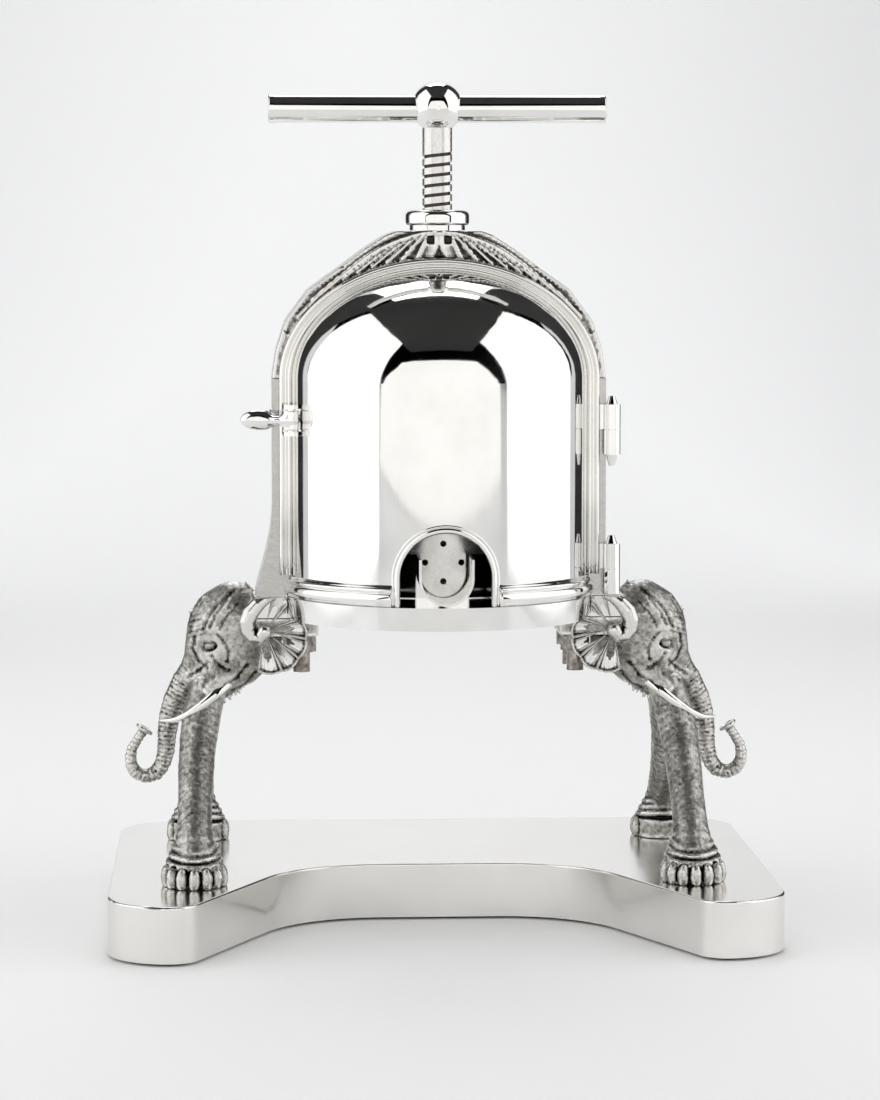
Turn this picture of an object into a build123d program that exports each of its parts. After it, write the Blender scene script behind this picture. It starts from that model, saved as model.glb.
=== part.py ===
from build123d import *
import os
from math import asin, atan2, degrees

# Table-top carcass press: a bell-shaped press on two elephant supports.
# Millimetres. +Z up, +X towards the door's hinges, -Y towards the door.
# The origin is on the ground, on the axis of the screw.

# ---------------------------------------------------------------- clearances
SEAT_GAP = 0.1          # round a fixed pin, screw or stud in its hole, on the radius
RUNNING_FIT = 0.08      # round a shaft or a hinge pin that turns, on the radius
FREE_GAP = 0.4          # between neighbours that move past each other
DROP_IN_GAP = 0.5       # round a piece that lifts out

# ---------------------------------------------------------------- base
BASE_WIDTH = 466.0
BASE_DEPTH = 356.0
BASE_TOP = 41.0         # height of the base's upper face
BASE_CORNER = 44.0      # corner radius in plan
BASE_RECESS = 159.0     # how far the middle of the front edge is set back
BASE_RECESS_FLAT = 86.0
BASE_BAY_RADIUS = 90.0  # hollow curve at each end of the recess
BASE_NOSE_RADIUS = 20.0 # round curve from there into each front lobe
BASE_WALL = 4.0
BASE_EDGE_ROUND = 1.5
PAD_THICKNESS = 2.0
PAD_MARGIN = 6.0
COVER_THICKNESS = 2.5
PILLAR_RADIUS = 6.0
PILLAR_INSET = 34.0
COVER_SCREW_RADIUS = 2.0
COVER_SCREW_LENGTH = 14.0

# ---------------------------------------------------------------- feet and legs
FOOT_X = 174.0
FOOT_Y = 97.0
FOOT_HALF_WIDTH = 22.5
FOOT_HALF_LENGTH = 24.0
FOOT_HEIGHT = 17.0
ANKLE_RADIUS = 15.0
SHIN_RADIUS = 12.0
LEG_TOP_X = 165.0
LEG_TOP_Y = 20.0
LEG_STUD_RADIUS = 3.0
LEG_STUD_DEPTH = 14.0   # how far the stud screws into the foot
LEG_STUD_HANG = 12.0    # how far it hangs below the base's upper wall
LEG_NUT_FLATS = 10.0
LEG_NUT_HEIGHT = 5.0
LEG_WASHER_RADIUS = 8.0
LEG_WASHER_THICKNESS = 1.6

# ---------------------------------------------------------------- table
TABLE_RADIUS = 110.0    # a little more than the bell's
TABLE_TOP = 236.0
TABLE_THICKNESS = 16.0
TABLE_LUG_REACH = 131.5
TABLE_LUG_HALF = 28.0
PLUG_RADIUS = 13.8
PLUG_HEAD = 6.0
PLUG_SHANK_RADIUS = 8.0

# ---------------------------------------------------------------- frame
FRAME_HALF_DEPTH = 29.5
FRAME_HALF_WIDTH = 118.5
FRAME_INNER_HALF = 104.0
SPRING = TABLE_TOP + 154          # height where the columns meet the arch
ARCH_INNER_RISE = 70.0
ARCH_TOP = TABLE_TOP + 258.5
ARCH_SHOULDER = 38.0    # half width of the flat top of the arch
COLUMN_FOOT_INNER = 89.5
COLUMN_FOOT_HEIGHT = 20.0
LEFT_FOOT_REACH = 131.0
LEFT_FLARE_HEIGHT = 66.0
DOWEL_RADIUS = 2.5
DOWEL_LENGTH = 20.0
STUD_X = 98.0
STUD_Y = 17.5
STUD_RADIUS = 6.0
STUD_HANG = 26.0        # length below the flange of the elephant
STUD_DEPTH = 15.0       # length inside the foot of the column
NUT_FLATS = 18.0
NUT_HEIGHT = 10.0
WASHER_RADIUS = 10.2
WASHER_THICKNESS = 1.6

# ---------------------------------------------------------------- elephant heads
FLANGE_THICKNESS = 13.4
FLANGE_INNER = 86.0
HEAD_HALF = 28.5
HEAD_BACK = 132.5       # distance from the screw axis to the nape
HEAD_TOP = TABLE_TOP + 5.5
EAR_THICKNESS = 6.5
EAR_X = 114.5
EAR_Z = TABLE_TOP - 28.5
EAR_HALF_WIDTH = 19.5
EAR_HALF_HEIGHT = 26.5
VOLUTE_X = 126.0
VOLUTE_Z = TABLE_TOP - 24
VOLUTE_RADIUS = 8.0
VOLUTE_PROUD = 2.0
TRUNK_ROOT_RADIUS = 8.5
TRUNK_TIP_RADIUS = 3.4
TRUNK_LIP_RADIUS = 7.5
TUSK_ROOT_RADIUS = 4.2
TUSK_TIP_RADIUS = 1.0

# ---------------------------------------------------------------- bell: door and rear shell
BELL_RADIUS = 108.0
BELL_AXIS_Y = 10.0      # each half is turned about its own axis, this far from the screw
BELL_RISE = 80.0
SHEET = 2.5
BELL_FACE_Y = 30.0      # where each half meets the frame
RIM_HALF_WIDTH = BELL_RADIUS + 5.7
RIM_RISE = BELL_RISE + 5
RIM_DEPTH = 7.0
RING_HEIGHT = 15.0
RING_PROUD = 4.5
RING_BLOCK_DEPTH = 8.0
RING_BLOCK_HALF_WIDTH = BELL_RADIUS + 7
NOTCH_HALF_WIDTH = 31.5
NOTCH_HEIGHT = 51.0
NOTCH_BORDER = 6.0
NOTCH_PROUD = 3.0
SHELL_SCREW_RADIUS = 1.6
SHELL_SCREW_LENGTH = 18.0
SHELL_SCREW_HEAD = 2.8

# ---------------------------------------------------------------- hinges and latch
HINGE_X = 122.0
HINGE_Y = -35.5
KNUCKLE_RADIUS = 6.2
HINGE_PIN_RADIUS = 2.5
UPPER_HINGE = TABLE_TOP + 118     # height where the two knuckles of the upper hinge meet
LOWER_HINGE = TABLE_TOP + 19
KNUCKLE_LENGTH = 17.5
LEAF_THICKNESS = 3.0
LEAF_LENGTH = 16.0
LEAF_BITE = 1.0         # how far each leaf runs into its knuckle
FINIAL_RADIUS = 4.2
FINIAL_HEIGHT = 6.0     # above each hinge
FINIAL_DROP = 8.0       # below the upper hinge
LATCH_Z = TABLE_TOP + 126
LATCH_X = -105.5
LATCH_Y = -54.0
LATCH_PIN_RADIUS = 2.5
LATCH_BARREL_RADIUS = 5.5
LATCH_HEIGHT = 15.0
LATCH_EAR = 3.0         # thickness of the lug above and below the lever
KEEPER_PLATE = 1.6
LATCH_TIP_X = -141.0

# ---------------------------------------------------------------- press
SCREW_RADIUS = 10.65
SCREW_LEAD = 7.0
THREAD_DEPTH = 1.4
THREAD_GROOVE = 2.4
THREAD_TOP = TABLE_TOP + 313.5
BALL_RADIUS = 18.25
BALL_Z = TABLE_TOP + 345.75
BAR_RADIUS = 10.0
BAR_LENGTH = 240.0
BAR_Z = TABLE_TOP + 344.5
CAP_LENGTH = 4.0
CAP_PROUD = 0.4
BALL_PIN_RADIUS = 1.6
BALL_PIN_REACH = 16.8
COLLAR_RADIUS = 23.0
COLLAR_BOTTOM = TABLE_TOP + 262
COLLAR_TOP = TABLE_TOP + 273
COLLAR_ROUND = 4.5
BUSH_RADIUS = 17.0
BUSH_NECK_RADIUS = 20.0
BUSH_BOTTOM = TABLE_TOP + 221
LOCK_SCREW_RADIUS = 2.5
LOCK_SCREW_Z = TABLE_TOP + 242
PLATE_BOTTOM = TABLE_TOP + 46    # height of the press plate as it stands
PLATE_THICKNESS = 10.0
PLATE_GAP = 2.0         # between the press plate and the strainer
BOSS_RADIUS = 22.0
BOSS_HEIGHT = 12.0
KEEPER_THICKNESS = 5.0
KEEPER_SCREW_RADIUS = 1.6
KEEPER_SCREW_LENGTH = 12.0
KEEPER_SCREW_CIRCLE = 16.8
SWIVEL_FLANGE_RADIUS = 12.0
SWIVEL_FLANGE_HEIGHT = 6.0
SWIVEL_NECK_RADIUS = 8.0

# ---------------------------------------------------------------- strainer and tray
TRAY_RADIUS = 86.0
TRAY_WALL = 1.8
TRAY_HEIGHT = 34.0
SPOUT_HALF_WIDTH = 19.0
SPOUT_TIP_Y = -126.0
STRAINER_RADIUS = 81.0
STRAINER_WALL = 1.5
STRAINER_HEIGHT = 92.0
STRAINER_HOLE = 2.2     # radius of each drain hole
STRAINER_ROWS = 6
STRAINER_COLUMNS = 20
RIM_BEAD = 1.6

# ---------------------------------------------------------------- derived sizes
TABLE_BOTTOM = TABLE_TOP - TABLE_THICKNESS
FLANGE_BOTTOM = TABLE_BOTTOM - FLANGE_THICKNESS
BELL_BOTTOM = TABLE_TOP + FREE_GAP
BASE_SKIN_BOTTOM = BASE_TOP - BASE_WALL
PLATE_RADIUS = STRAINER_RADIUS - STRAINER_WALL - PLATE_GAP
BOSS_TOP = PLATE_BOTTOM + PLATE_THICKNESS + BOSS_HEIGHT
KEEPER_TOP = BOSS_TOP + KEEPER_THICKNESS
SIDES = {"left": -1, "right": 1}
FACES = {"front": -1, "rear": 1}


def save(piece, label):
    """Label a finished piece and write it as a node of its own."""
    piece.part.label = label
    export_step(piece.part, f"parts/{label}.step")


def four(x, y, z=0.0):
    """The four points (+-x, +-y) at height z."""
    return [(i * x, j * y, z) for i in (-1, 1) for j in (-1, 1)]


# ---------------------------------------------------------------- base
def base_outline(inset=0.0):
    """Plan of the base, drawn in by inset: straight back and sides, two lobes in front."""
    half = BASE_WIDTH / 2
    back = BASE_DEPTH / 2
    corner = BASE_CORNER - inset
    bay = Vector(BASE_RECESS_FLAT / 2, BASE_RECESS - back - BASE_BAY_RADIUS)
    nose = Vector(half - BASE_CORNER, BASE_NOSE_RADIUS - back)
    lean = atan2((nose - bay).Y, (nose - bay).X)
    lean -= asin((BASE_BAY_RADIUS + BASE_NOSE_RADIUS) / (nose - bay).length)
    lean = 90 + degrees(lean)
    with BuildSketch() as outline:
        with BuildLine():
            rear = CenterArc((nose.X, back - BASE_CORNER), corner, 0, 90)
            Line((0, back - inset), rear @ 1)
            front = CenterArc((nose.X, BASE_CORNER - back), corner, 270, 90)
            Line(front @ 1, rear @ 0)
            tip = CenterArc(nose, BASE_NOSE_RADIUS - inset, 180 + lean, 90 - lean)
            hollow = CenterArc(bay, BASE_BAY_RADIUS + inset, lean, 90 - lean)
            Line(hollow @ 0, tip @ 0)
            Line(hollow @ 1, (0, BASE_RECESS - back + inset))
            mirror(about=Plane.YZ)
        make_face()
    return outline.sketch


def cover_screw_points():
    half = BASE_WIDTH / 2 - PILLAR_INSET
    back = BASE_DEPTH / 2 - PILLAR_INSET
    middle = BASE_RECESS - BASE_DEPTH / 2 + PILLAR_INSET
    return [(-half, back), (half, back), (-half, -back), (half, -back), (0, back), (0, middle)]


def make_base():
    pillar_bottom = PAD_THICKNESS + COVER_THICKNESS
    outline = base_outline()
    hollow = base_outline(BASE_WALL)
    cover_outline = base_outline(BASE_WALL + DROP_IN_GAP)
    pad_outline = base_outline(PAD_MARGIN)
    with BuildPart() as base_casing:
        with BuildSketch(Plane.XY.offset(PAD_THICKNESS)):
            add(outline)
        extrude(amount=BASE_TOP - PAD_THICKNESS)
        fillet(base_casing.faces().sort_by(Axis.Z)[-1].edges(), radius=BASE_EDGE_ROUND)
        with BuildSketch(Plane.XY.offset(PAD_THICKNESS)):
            add(hollow)
        extrude(amount=BASE_SKIN_BOTTOM - PAD_THICKNESS, mode=Mode.SUBTRACT)
        with BuildSketch(Plane.XY.offset(pillar_bottom)):
            with Locations(*cover_screw_points()):
                Circle(PILLAR_RADIUS)
        extrude(amount=BASE_SKIN_BOTTOM - pillar_bottom)
        with BuildSketch(Plane.XY.offset(pillar_bottom)):
            with Locations(*cover_screw_points()):
                Circle(COVER_SCREW_RADIUS + SEAT_GAP)
        extrude(amount=COVER_SCREW_LENGTH, mode=Mode.SUBTRACT)
        with Locations(*four(FOOT_X, FOOT_Y, BASE_TOP)):
            Hole(LEG_STUD_RADIUS + SEAT_GAP, depth=BASE_WALL)
    save(base_casing, "base_casing")

    with BuildPart() as base_cover:
        with BuildSketch(Plane.XY.offset(PAD_THICKNESS)):
            add(cover_outline)
        extrude(amount=COVER_THICKNESS)
        with Locations(Plane.XY.offset(PAD_THICKNESS).rotated((180, 0, 0))):
            with Locations(*[(x, -y) for x, y in cover_screw_points()]):
                CounterSinkHole(COVER_SCREW_RADIUS + SEAT_GAP, 2 * COVER_SCREW_RADIUS + SEAT_GAP)
    save(base_cover, "base_cover")

    with BuildPart() as base_pad:
        with BuildSketch():
            add(pad_outline)
        extrude(amount=PAD_THICKNESS)
    save(base_pad, "base_pad")

    with BuildPart() as base_cover_screws:
        with Locations(*[(x, y, PAD_THICKNESS) for x, y in cover_screw_points()]):
            Cone(2 * COVER_SCREW_RADIUS, COVER_SCREW_RADIUS, COVER_SCREW_RADIUS,
                 align=(Align.CENTER, Align.CENTER, Align.MIN))
            Cylinder(COVER_SCREW_RADIUS, COVER_SCREW_LENGTH,
                     align=(Align.CENTER, Align.CENTER, Align.MIN))
    save(base_cover_screws, "base_cover_screws")


# ---------------------------------------------------------------- elephants
def head_block(side):
    """Head, neck and mounting flange: the side view cut by the plan view."""
    neck = HEAD_BACK
    top = TABLE_TOP
    with BuildPart() as block:
        with BuildSketch(Plane.XZ) as side_view:
            with BuildLine():
                flange = Polyline(
                    (112, FLANGE_BOTTOM),
                    (FLANGE_INNER, FLANGE_BOTTOM),
                    (FLANGE_INNER, TABLE_BOTTOM),
                    (neck, TABLE_BOTTOM),
                    (neck, HEAD_TOP - 2),
                )
                brow = Spline(
                    flange @ 1, (144, HEAD_TOP), (158, top - 2), (168, top - 8), (176.5, top - 18),
                    (179.5, top - 31), (180.5, top - 46), (187, top - 58), (193, top - 68),
                    (186, top - 76),
                )
                Spline(brow @ 1, (172, top - 85), (156, top - 88), (137, top - 72),
                       (127, top - 60), flange @ 0)
            make_face()
        extrude(amount=HEAD_HALF + 1, both=True)
        with BuildSketch(Plane.XY.offset(FLANGE_BOTTOM - 80)):
            with BuildLine():
                cheek = Polyline((FLANGE_INNER - 1, 0), (FLANGE_INNER - 1, HEAD_HALF), (140, HEAD_HALF))
                Spline(cheek @ 1, (158, 26), (172, 20), (184, 11), (196, 8), tangents=((1, 0), (1, 0)))
                Line((196, 8), (196, 0))
                mirror(about=Plane.XZ)
            make_face()
        extrude(amount=HEAD_TOP - FLANGE_BOTTOM + 90, mode=Mode.INTERSECT)
    return block.part if side > 0 else block.part.mirror(Plane.YZ)


def trunk_path(side):
    """Centre line of the trunk: down, then curled out and up again."""
    drops = [(182, 60), (188, 73), (193, 90), (194.5, 107), (198, 125), (206, 132.5),
             (215.5, 131.5), (221.5, 123), (220.5, 113), (215, 106), (210.5, 99)]
    with BuildLine() as path:
        Spline(*[(side * x, 0, TABLE_TOP - drop) for x, drop in drops])
    return path.line


def tapered_tube(path, radii):
    """Sections of the given radii, evenly spaced along the path, joined by one sweep."""
    with BuildPart() as tube:
        for index, radius in enumerate(radii):
            at = index / (len(radii) - 1)
            with BuildSketch(Plane(origin=path @ at, x_dir=(0, 1, 0), z_dir=path % at)):
                Circle(radius)
        sweep(path=path, multisection=True)
    return tube.part


def make_head(side_name):
    side = SIDES[side_name]
    path = trunk_path(side)
    root, tip = TRUNK_ROOT_RADIUS, TRUNK_TIP_RADIUS
    block = head_block(side)
    trunk = tapered_tube(path, [root, root * 0.85, root * 0.7, root * 0.64, root * 0.62, tip])
    with BuildPart() as head:
        add(block)
        add(trunk)
        with BuildSketch(Plane(origin=path @ 1, x_dir=(0, 1, 0), z_dir=path % 1)) as lip:
            Circle(TRUNK_LIP_RADIUS)
        extrude(amount=1.8)
        with Locations(*[(side * STUD_X, j * STUD_Y, TABLE_BOTTOM) for j in (-1, 1)]):
            Hole(STUD_RADIUS + SEAT_GAP, depth=FLANGE_THICKNESS)
    save(head, f"elephant_head_{side_name}")
    return head.part


def tusk_solid(side, face):
    """A tapered horn from the cheek forwards past the trunk."""
    drops = [(152, 23, 68), (167, 32.5, 75), (181, 33, 85), (198, 19, 91)]
    with BuildLine() as path:
        Spline(*[(side * x, face * y, TABLE_TOP - drop) for x, y, drop in drops])
    middle = 0.6 * TUSK_ROOT_RADIUS
    return tapered_tube(path.line, [TUSK_ROOT_RADIUS, middle, TUSK_TIP_RADIUS])


def make_face_pieces(side_name, face_name, head):
    """The ear and the tusk on one face of one head."""
    side, face = SIDES[side_name], FACES[face_name]
    horn = tusk_solid(side, face)
    with BuildPart() as tusk:
        add(horn)
        add(head, mode=Mode.SUBTRACT)
    save(tusk, f"tusk_{face_name}_{side_name}")

    plane = Plane(origin=(0, face * HEAD_HALF, 0), x_dir=(-face, 0, 0), z_dir=(0, face, 0))
    with BuildPart() as ear:
        with BuildSketch(plane):
            with Locations((-face * side * EAR_X, EAR_Z)):
                Ellipse(EAR_HALF_WIDTH, EAR_HALF_HEIGHT)
        extrude(amount=EAR_THICKNESS)
        with BuildSketch(plane):
            with Locations((-face * side * VOLUTE_X, VOLUTE_Z)):
                Circle(VOLUTE_RADIUS)
        extrude(amount=EAR_THICKNESS + VOLUTE_PROUD)
        with BuildSketch(Plane.XY.offset(TABLE_BOTTOM - FREE_GAP)):
            with Locations((0, -BELL_AXIS_Y), (0, BELL_AXIS_Y)):
                Circle(TABLE_RADIUS + FREE_GAP)
        extrude(amount=TABLE_THICKNESS + EAR_HALF_HEIGHT, mode=Mode.SUBTRACT)
    save(ear, f"ear_{face_name}_{side_name}")


def make_leg(side_name, face_name, head):
    """A splayed leg: foot, ankle, shin and the top that meets the head."""
    side, face = SIDES[side_name], FACES[face_name]
    ankle_z = BASE_TOP + FOOT_HEIGHT
    top_z = FLANGE_BOTTOM - 36
    hip_z = top_z - 20
    knee_z = (ankle_z + hip_z) / 2 + 10
    with BuildPart() as leg:
        with BuildSketch(Plane.XY.offset(BASE_TOP)):
            with Locations((side * FOOT_X, face * FOOT_Y)):
                Ellipse(FOOT_HALF_WIDTH, FOOT_HALF_LENGTH)
        with BuildSketch(Plane.XY.offset(ankle_z)):
            with Locations((side * FOOT_X, face * (FOOT_Y - 3))):
                Ellipse(ANKLE_RADIUS + 2, ANKLE_RADIUS + 2)
        loft()
        for z, x, y, radius in (
            (ankle_z, FOOT_X, FOOT_Y - 3, ANKLE_RADIUS),
            (ankle_z + 25, FOOT_X, FOOT_Y * 0.8, SHIN_RADIUS),
            (knee_z, FOOT_X - 1, FOOT_Y * 0.5, SHIN_RADIUS),
            (hip_z, LEG_TOP_X + 5, LEG_TOP_Y, SHIN_RADIUS),
            (top_z, LEG_TOP_X, LEG_TOP_Y - 8, SHIN_RADIUS),
        ):
            with BuildSketch(Plane.XY.offset(z)):
                with Locations((side * x, face * y)):
                    Ellipse(radius + 1, radius)
        loft()
        add(head, mode=Mode.SUBTRACT)
        with BuildSketch(Plane.XY.offset(BASE_TOP)):
            with Locations((side * FOOT_X, face * FOOT_Y)):
                Circle(LEG_STUD_RADIUS + SEAT_GAP)
        extrude(amount=LEG_STUD_DEPTH + SEAT_GAP, mode=Mode.SUBTRACT)
        with BuildSketch(Plane.XY.offset(BASE_TOP)):
            with Locations((side * FOOT_X, 0)):
                Rectangle(BASE_WIDTH, 2 * SEAT_GAP)
        extrude(amount=TABLE_TOP, mode=Mode.SUBTRACT)
    save(leg, f"leg_{face_name}_{side_name}")


def stud_set(label, points, radius, bottom, top):
    """Identical plain studs standing on the given points."""
    with BuildPart() as studs:
        with BuildSketch(Plane.XY.offset(bottom)):
            with Locations(*points):
                Circle(radius)
        extrude(amount=top - bottom)
    save(studs, label)


def ring_set(label, points, outer, bore, bottom, height):
    """Identical washers."""
    with BuildPart() as rings:
        with BuildSketch(Plane.XY.offset(bottom)):
            with Locations(*points):
                Circle(outer)
                Circle(bore, mode=Mode.SUBTRACT)
        extrude(amount=height)
    save(rings, label)


def nut_set(label, points, flats, bore, bottom, height):
    """Identical hexagon nuts."""
    with BuildPart() as nuts:
        with BuildSketch(Plane.XY.offset(bottom)):
            with Locations(*points):
                RegularPolygon(flats / 2, 6, major_radius=False)
                Circle(bore, mode=Mode.SUBTRACT)
        extrude(amount=height)
    save(nuts, label)


def make_leg_fixings():
    points = [(x, y) for x, y, _ in four(FOOT_X, FOOT_Y)]
    bore = LEG_STUD_RADIUS + SEAT_GAP
    washer_bottom = BASE_SKIN_BOTTOM - LEG_WASHER_THICKNESS
    stud_set("leg_studs", points, LEG_STUD_RADIUS, BASE_SKIN_BOTTOM - LEG_STUD_HANG,
             BASE_TOP + LEG_STUD_DEPTH)
    ring_set("leg_washers", points, LEG_WASHER_RADIUS, bore, washer_bottom, LEG_WASHER_THICKNESS)
    nut_set("leg_nuts", points, LEG_NUT_FLATS, bore, washer_bottom - LEG_NUT_HEIGHT, LEG_NUT_HEIGHT)


# ---------------------------------------------------------------- table and frame
def make_table():
    with BuildPart() as press_table:
        with BuildSketch(Plane.XY.offset(TABLE_BOTTOM)):
            with Locations((0, -BELL_AXIS_Y), (0, BELL_AXIS_Y)):
                Circle(TABLE_RADIUS)
            Rectangle(2 * TABLE_LUG_REACH, 2 * TABLE_LUG_HALF)
            Circle(PLUG_SHANK_RADIUS + SEAT_GAP, mode=Mode.SUBTRACT)
            with Locations(*four(STUD_X, STUD_Y)):
                Circle(STUD_RADIUS + SEAT_GAP, mode=Mode.SUBTRACT)
        extrude(amount=TABLE_THICKNESS)
    save(press_table, "press_table")

    with BuildPart() as table_centre_plug:
        with BuildSketch(Plane.XY.offset(TABLE_BOTTOM - PLUG_HEAD)):
            Circle(PLUG_RADIUS)
        extrude(amount=PLUG_HEAD)
        fillet(table_centre_plug.edges().group_by(Axis.Z)[0], radius=1.5)
        with BuildSketch(Plane.XY.offset(TABLE_BOTTOM)):
            Circle(PLUG_SHANK_RADIUS)
        extrude(amount=TABLE_THICKNESS)
    save(table_centre_plug, "table_centre_plug")


def make_column(side_name):
    """A column with a foot that takes the studs; the left foot also flares outwards."""
    side = SIDES[side_name]
    foot_top = TABLE_TOP + COLUMN_FOOT_HEIGHT
    screw_holes = shell_screws(SEAT_GAP)
    with BuildPart() as column:
        with BuildSketch(Plane.XZ):
            with BuildLine():
                inner = Polyline(
                    (side * FRAME_HALF_WIDTH, SPRING),
                    (side * FRAME_INNER_HALF, SPRING),
                    (side * FRAME_INNER_HALF, foot_top + 4),
                    (side * COLUMN_FOOT_INNER, foot_top - 2),
                    (side * COLUMN_FOOT_INNER, TABLE_TOP),
                )
                if side_name == "left":
                    flare_top = TABLE_TOP + LEFT_FLARE_HEIGHT
                    toe = Line(inner @ 1, (side * LEFT_FOOT_REACH, TABLE_TOP))
                    flare = Spline(
                        toe @ 1, (side * FRAME_HALF_WIDTH, flare_top),
                        tangents=((-side * 0.25, 1), (0, 1)),
                    )
                    Line(flare @ 1, inner @ 0)
                else:
                    Polyline(inner @ 1, (side * FRAME_HALF_WIDTH, TABLE_TOP), inner @ 0)
            make_face()
        extrude(amount=FRAME_HALF_DEPTH, both=True)
        with BuildSketch(Plane.XY.offset(TABLE_TOP)):
            with Locations(*[(side * STUD_X, j * STUD_Y) for j in (-1, 1)]):
                Circle(STUD_RADIUS + SEAT_GAP)
        extrude(amount=STUD_DEPTH + SEAT_GAP, mode=Mode.SUBTRACT)
        with Locations(*[(x, y, SPRING) for x, y in dowel_points() if x * side > 0]):
            Hole(DOWEL_RADIUS + SEAT_GAP, depth=DOWEL_LENGTH / 2)
        add(screw_holes, mode=Mode.SUBTRACT)
    save(column, f"column_{side_name}")


def dowel_points():
    middle = (FRAME_HALF_WIDTH + FRAME_INNER_HALF) / 2
    return [(i * middle, j * FRAME_HALF_DEPTH / 2) for i in (-1, 1) for j in (-1, 1)]


def make_arch():
    shoulder = [(53, 482), (71.6, 468), (92.5, 453.3), (108.5, 431.6), (115.5, 410)]
    with BuildPart() as arch_crown:
        with BuildSketch(Plane.XZ):
            with BuildLine():
                Line((0, ARCH_TOP), (ARCH_SHOULDER, ARCH_TOP))
                outer = Spline(
                    (ARCH_SHOULDER, ARCH_TOP), *shoulder, (FRAME_HALF_WIDTH, SPRING),
                    tangents=((1, -0.6), (0, -1)),
                )
                Line(outer @ 1, (FRAME_INNER_HALF, SPRING))
                EllipticalCenterArc((0, SPRING), FRAME_INNER_HALF, ARCH_INNER_RISE,
                                    start_angle=0, arc_size=90)
                Line((0, SPRING + ARCH_INNER_RISE), (0, ARCH_TOP))
            make_face()
            mirror(about=Plane.YZ)
        extrude(amount=FRAME_HALF_DEPTH, both=True)
        with Locations((0, 0, ARCH_TOP)):
            Hole(BUSH_RADIUS + SEAT_GAP, depth=ARCH_TOP - SPRING)
        with BuildSketch(Plane.XZ.offset(-FRAME_HALF_DEPTH)):
            with Locations((0, LOCK_SCREW_Z)):
                Circle(LOCK_SCREW_RADIUS + SEAT_GAP)
        extrude(amount=FRAME_HALF_DEPTH, mode=Mode.SUBTRACT)
        with BuildSketch(Plane.XY.offset(SPRING)):
            with Locations(*dowel_points()):
                Circle(DOWEL_RADIUS + SEAT_GAP)
        extrude(amount=DOWEL_LENGTH / 2, mode=Mode.SUBTRACT)
    save(arch_crown, "arch_crown")

    dowel_ends = SPRING - DOWEL_LENGTH / 2 + SEAT_GAP, SPRING + DOWEL_LENGTH / 2 - SEAT_GAP
    stud_set("column_dowels", dowel_points(), DOWEL_RADIUS, *dowel_ends)


def make_frame_fixings():
    points = [(x, y) for x, y, _ in four(STUD_X, STUD_Y)]
    bore = STUD_RADIUS + SEAT_GAP
    washer_bottom = FLANGE_BOTTOM - WASHER_THICKNESS
    stud_set("frame_studs", points, STUD_RADIUS, FLANGE_BOTTOM - STUD_HANG, TABLE_TOP + STUD_DEPTH)
    ring_set("frame_washers", points, WASHER_RADIUS, bore, washer_bottom, WASHER_THICKNESS)
    nut_set("frame_nuts", points, NUT_FLATS, bore, washer_bottom - NUT_HEIGHT, NUT_HEIGHT)


# ---------------------------------------------------------------- bell
def bell_solid(face, outward=0.0):
    """A filled half bell in front of (-1) or behind (1) the frame, grown outward."""
    radius = BELL_RADIUS + outward
    with BuildPart() as bell:
        with BuildSketch(Plane.XZ.offset(-face * BELL_AXIS_Y)):
            with BuildLine():
                Polyline((0, BELL_BOTTOM), (radius, BELL_BOTTOM), (radius, SPRING))
                EllipticalCenterArc((0, SPRING), radius, BELL_RISE + outward,
                                    start_angle=0, arc_size=90)
                Line((0, SPRING + BELL_RISE + outward), (0, BELL_BOTTOM))
            make_face()
        revolve(axis=Axis((0, face * BELL_AXIS_Y, 0), (0, 0, 1)))
        split(bisect_by=Plane(origin=(0, face * BELL_FACE_Y, 0), z_dir=(0, face, 0)), keep=Keep.TOP)
    return bell.part


def arch_face(half_width, rise):
    """Outline of the bell's opening: upright sides and an elliptical top."""
    with BuildSketch() as face:
        with BuildLine():
            Polyline((half_width, SPRING), (half_width, BELL_BOTTOM), (0, BELL_BOTTOM))
            EllipticalCenterArc((0, SPRING), half_width, rise, start_angle=0, arc_size=90)
            Line((0, SPRING + rise), (0, BELL_BOTTOM))
        make_face()
        mirror(about=Plane.YZ)
    return face.sketch


def notch_face(border=0.0):
    """Outline of the spout opening: upright sides and a round top."""
    radius = NOTCH_HALF_WIDTH + border
    crown = BELL_BOTTOM + NOTCH_HEIGHT - NOTCH_HALF_WIDTH
    with BuildSketch() as face:
        with Locations((0, crown)):
            Circle(radius)
        with Locations((0, BELL_BOTTOM - 1)):
            Rectangle(2 * radius, crown - BELL_BOTTOM + 1, align=(Align.CENTER, Align.MIN))
    return face.sketch


def upright_plane(face):
    """The frame-side face of a half bell, its normal pointing away from the frame."""
    return Plane(origin=(0, face * BELL_FACE_Y, 0), x_dir=(-face, 0, 0), z_dir=(0, face, 0))


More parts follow.
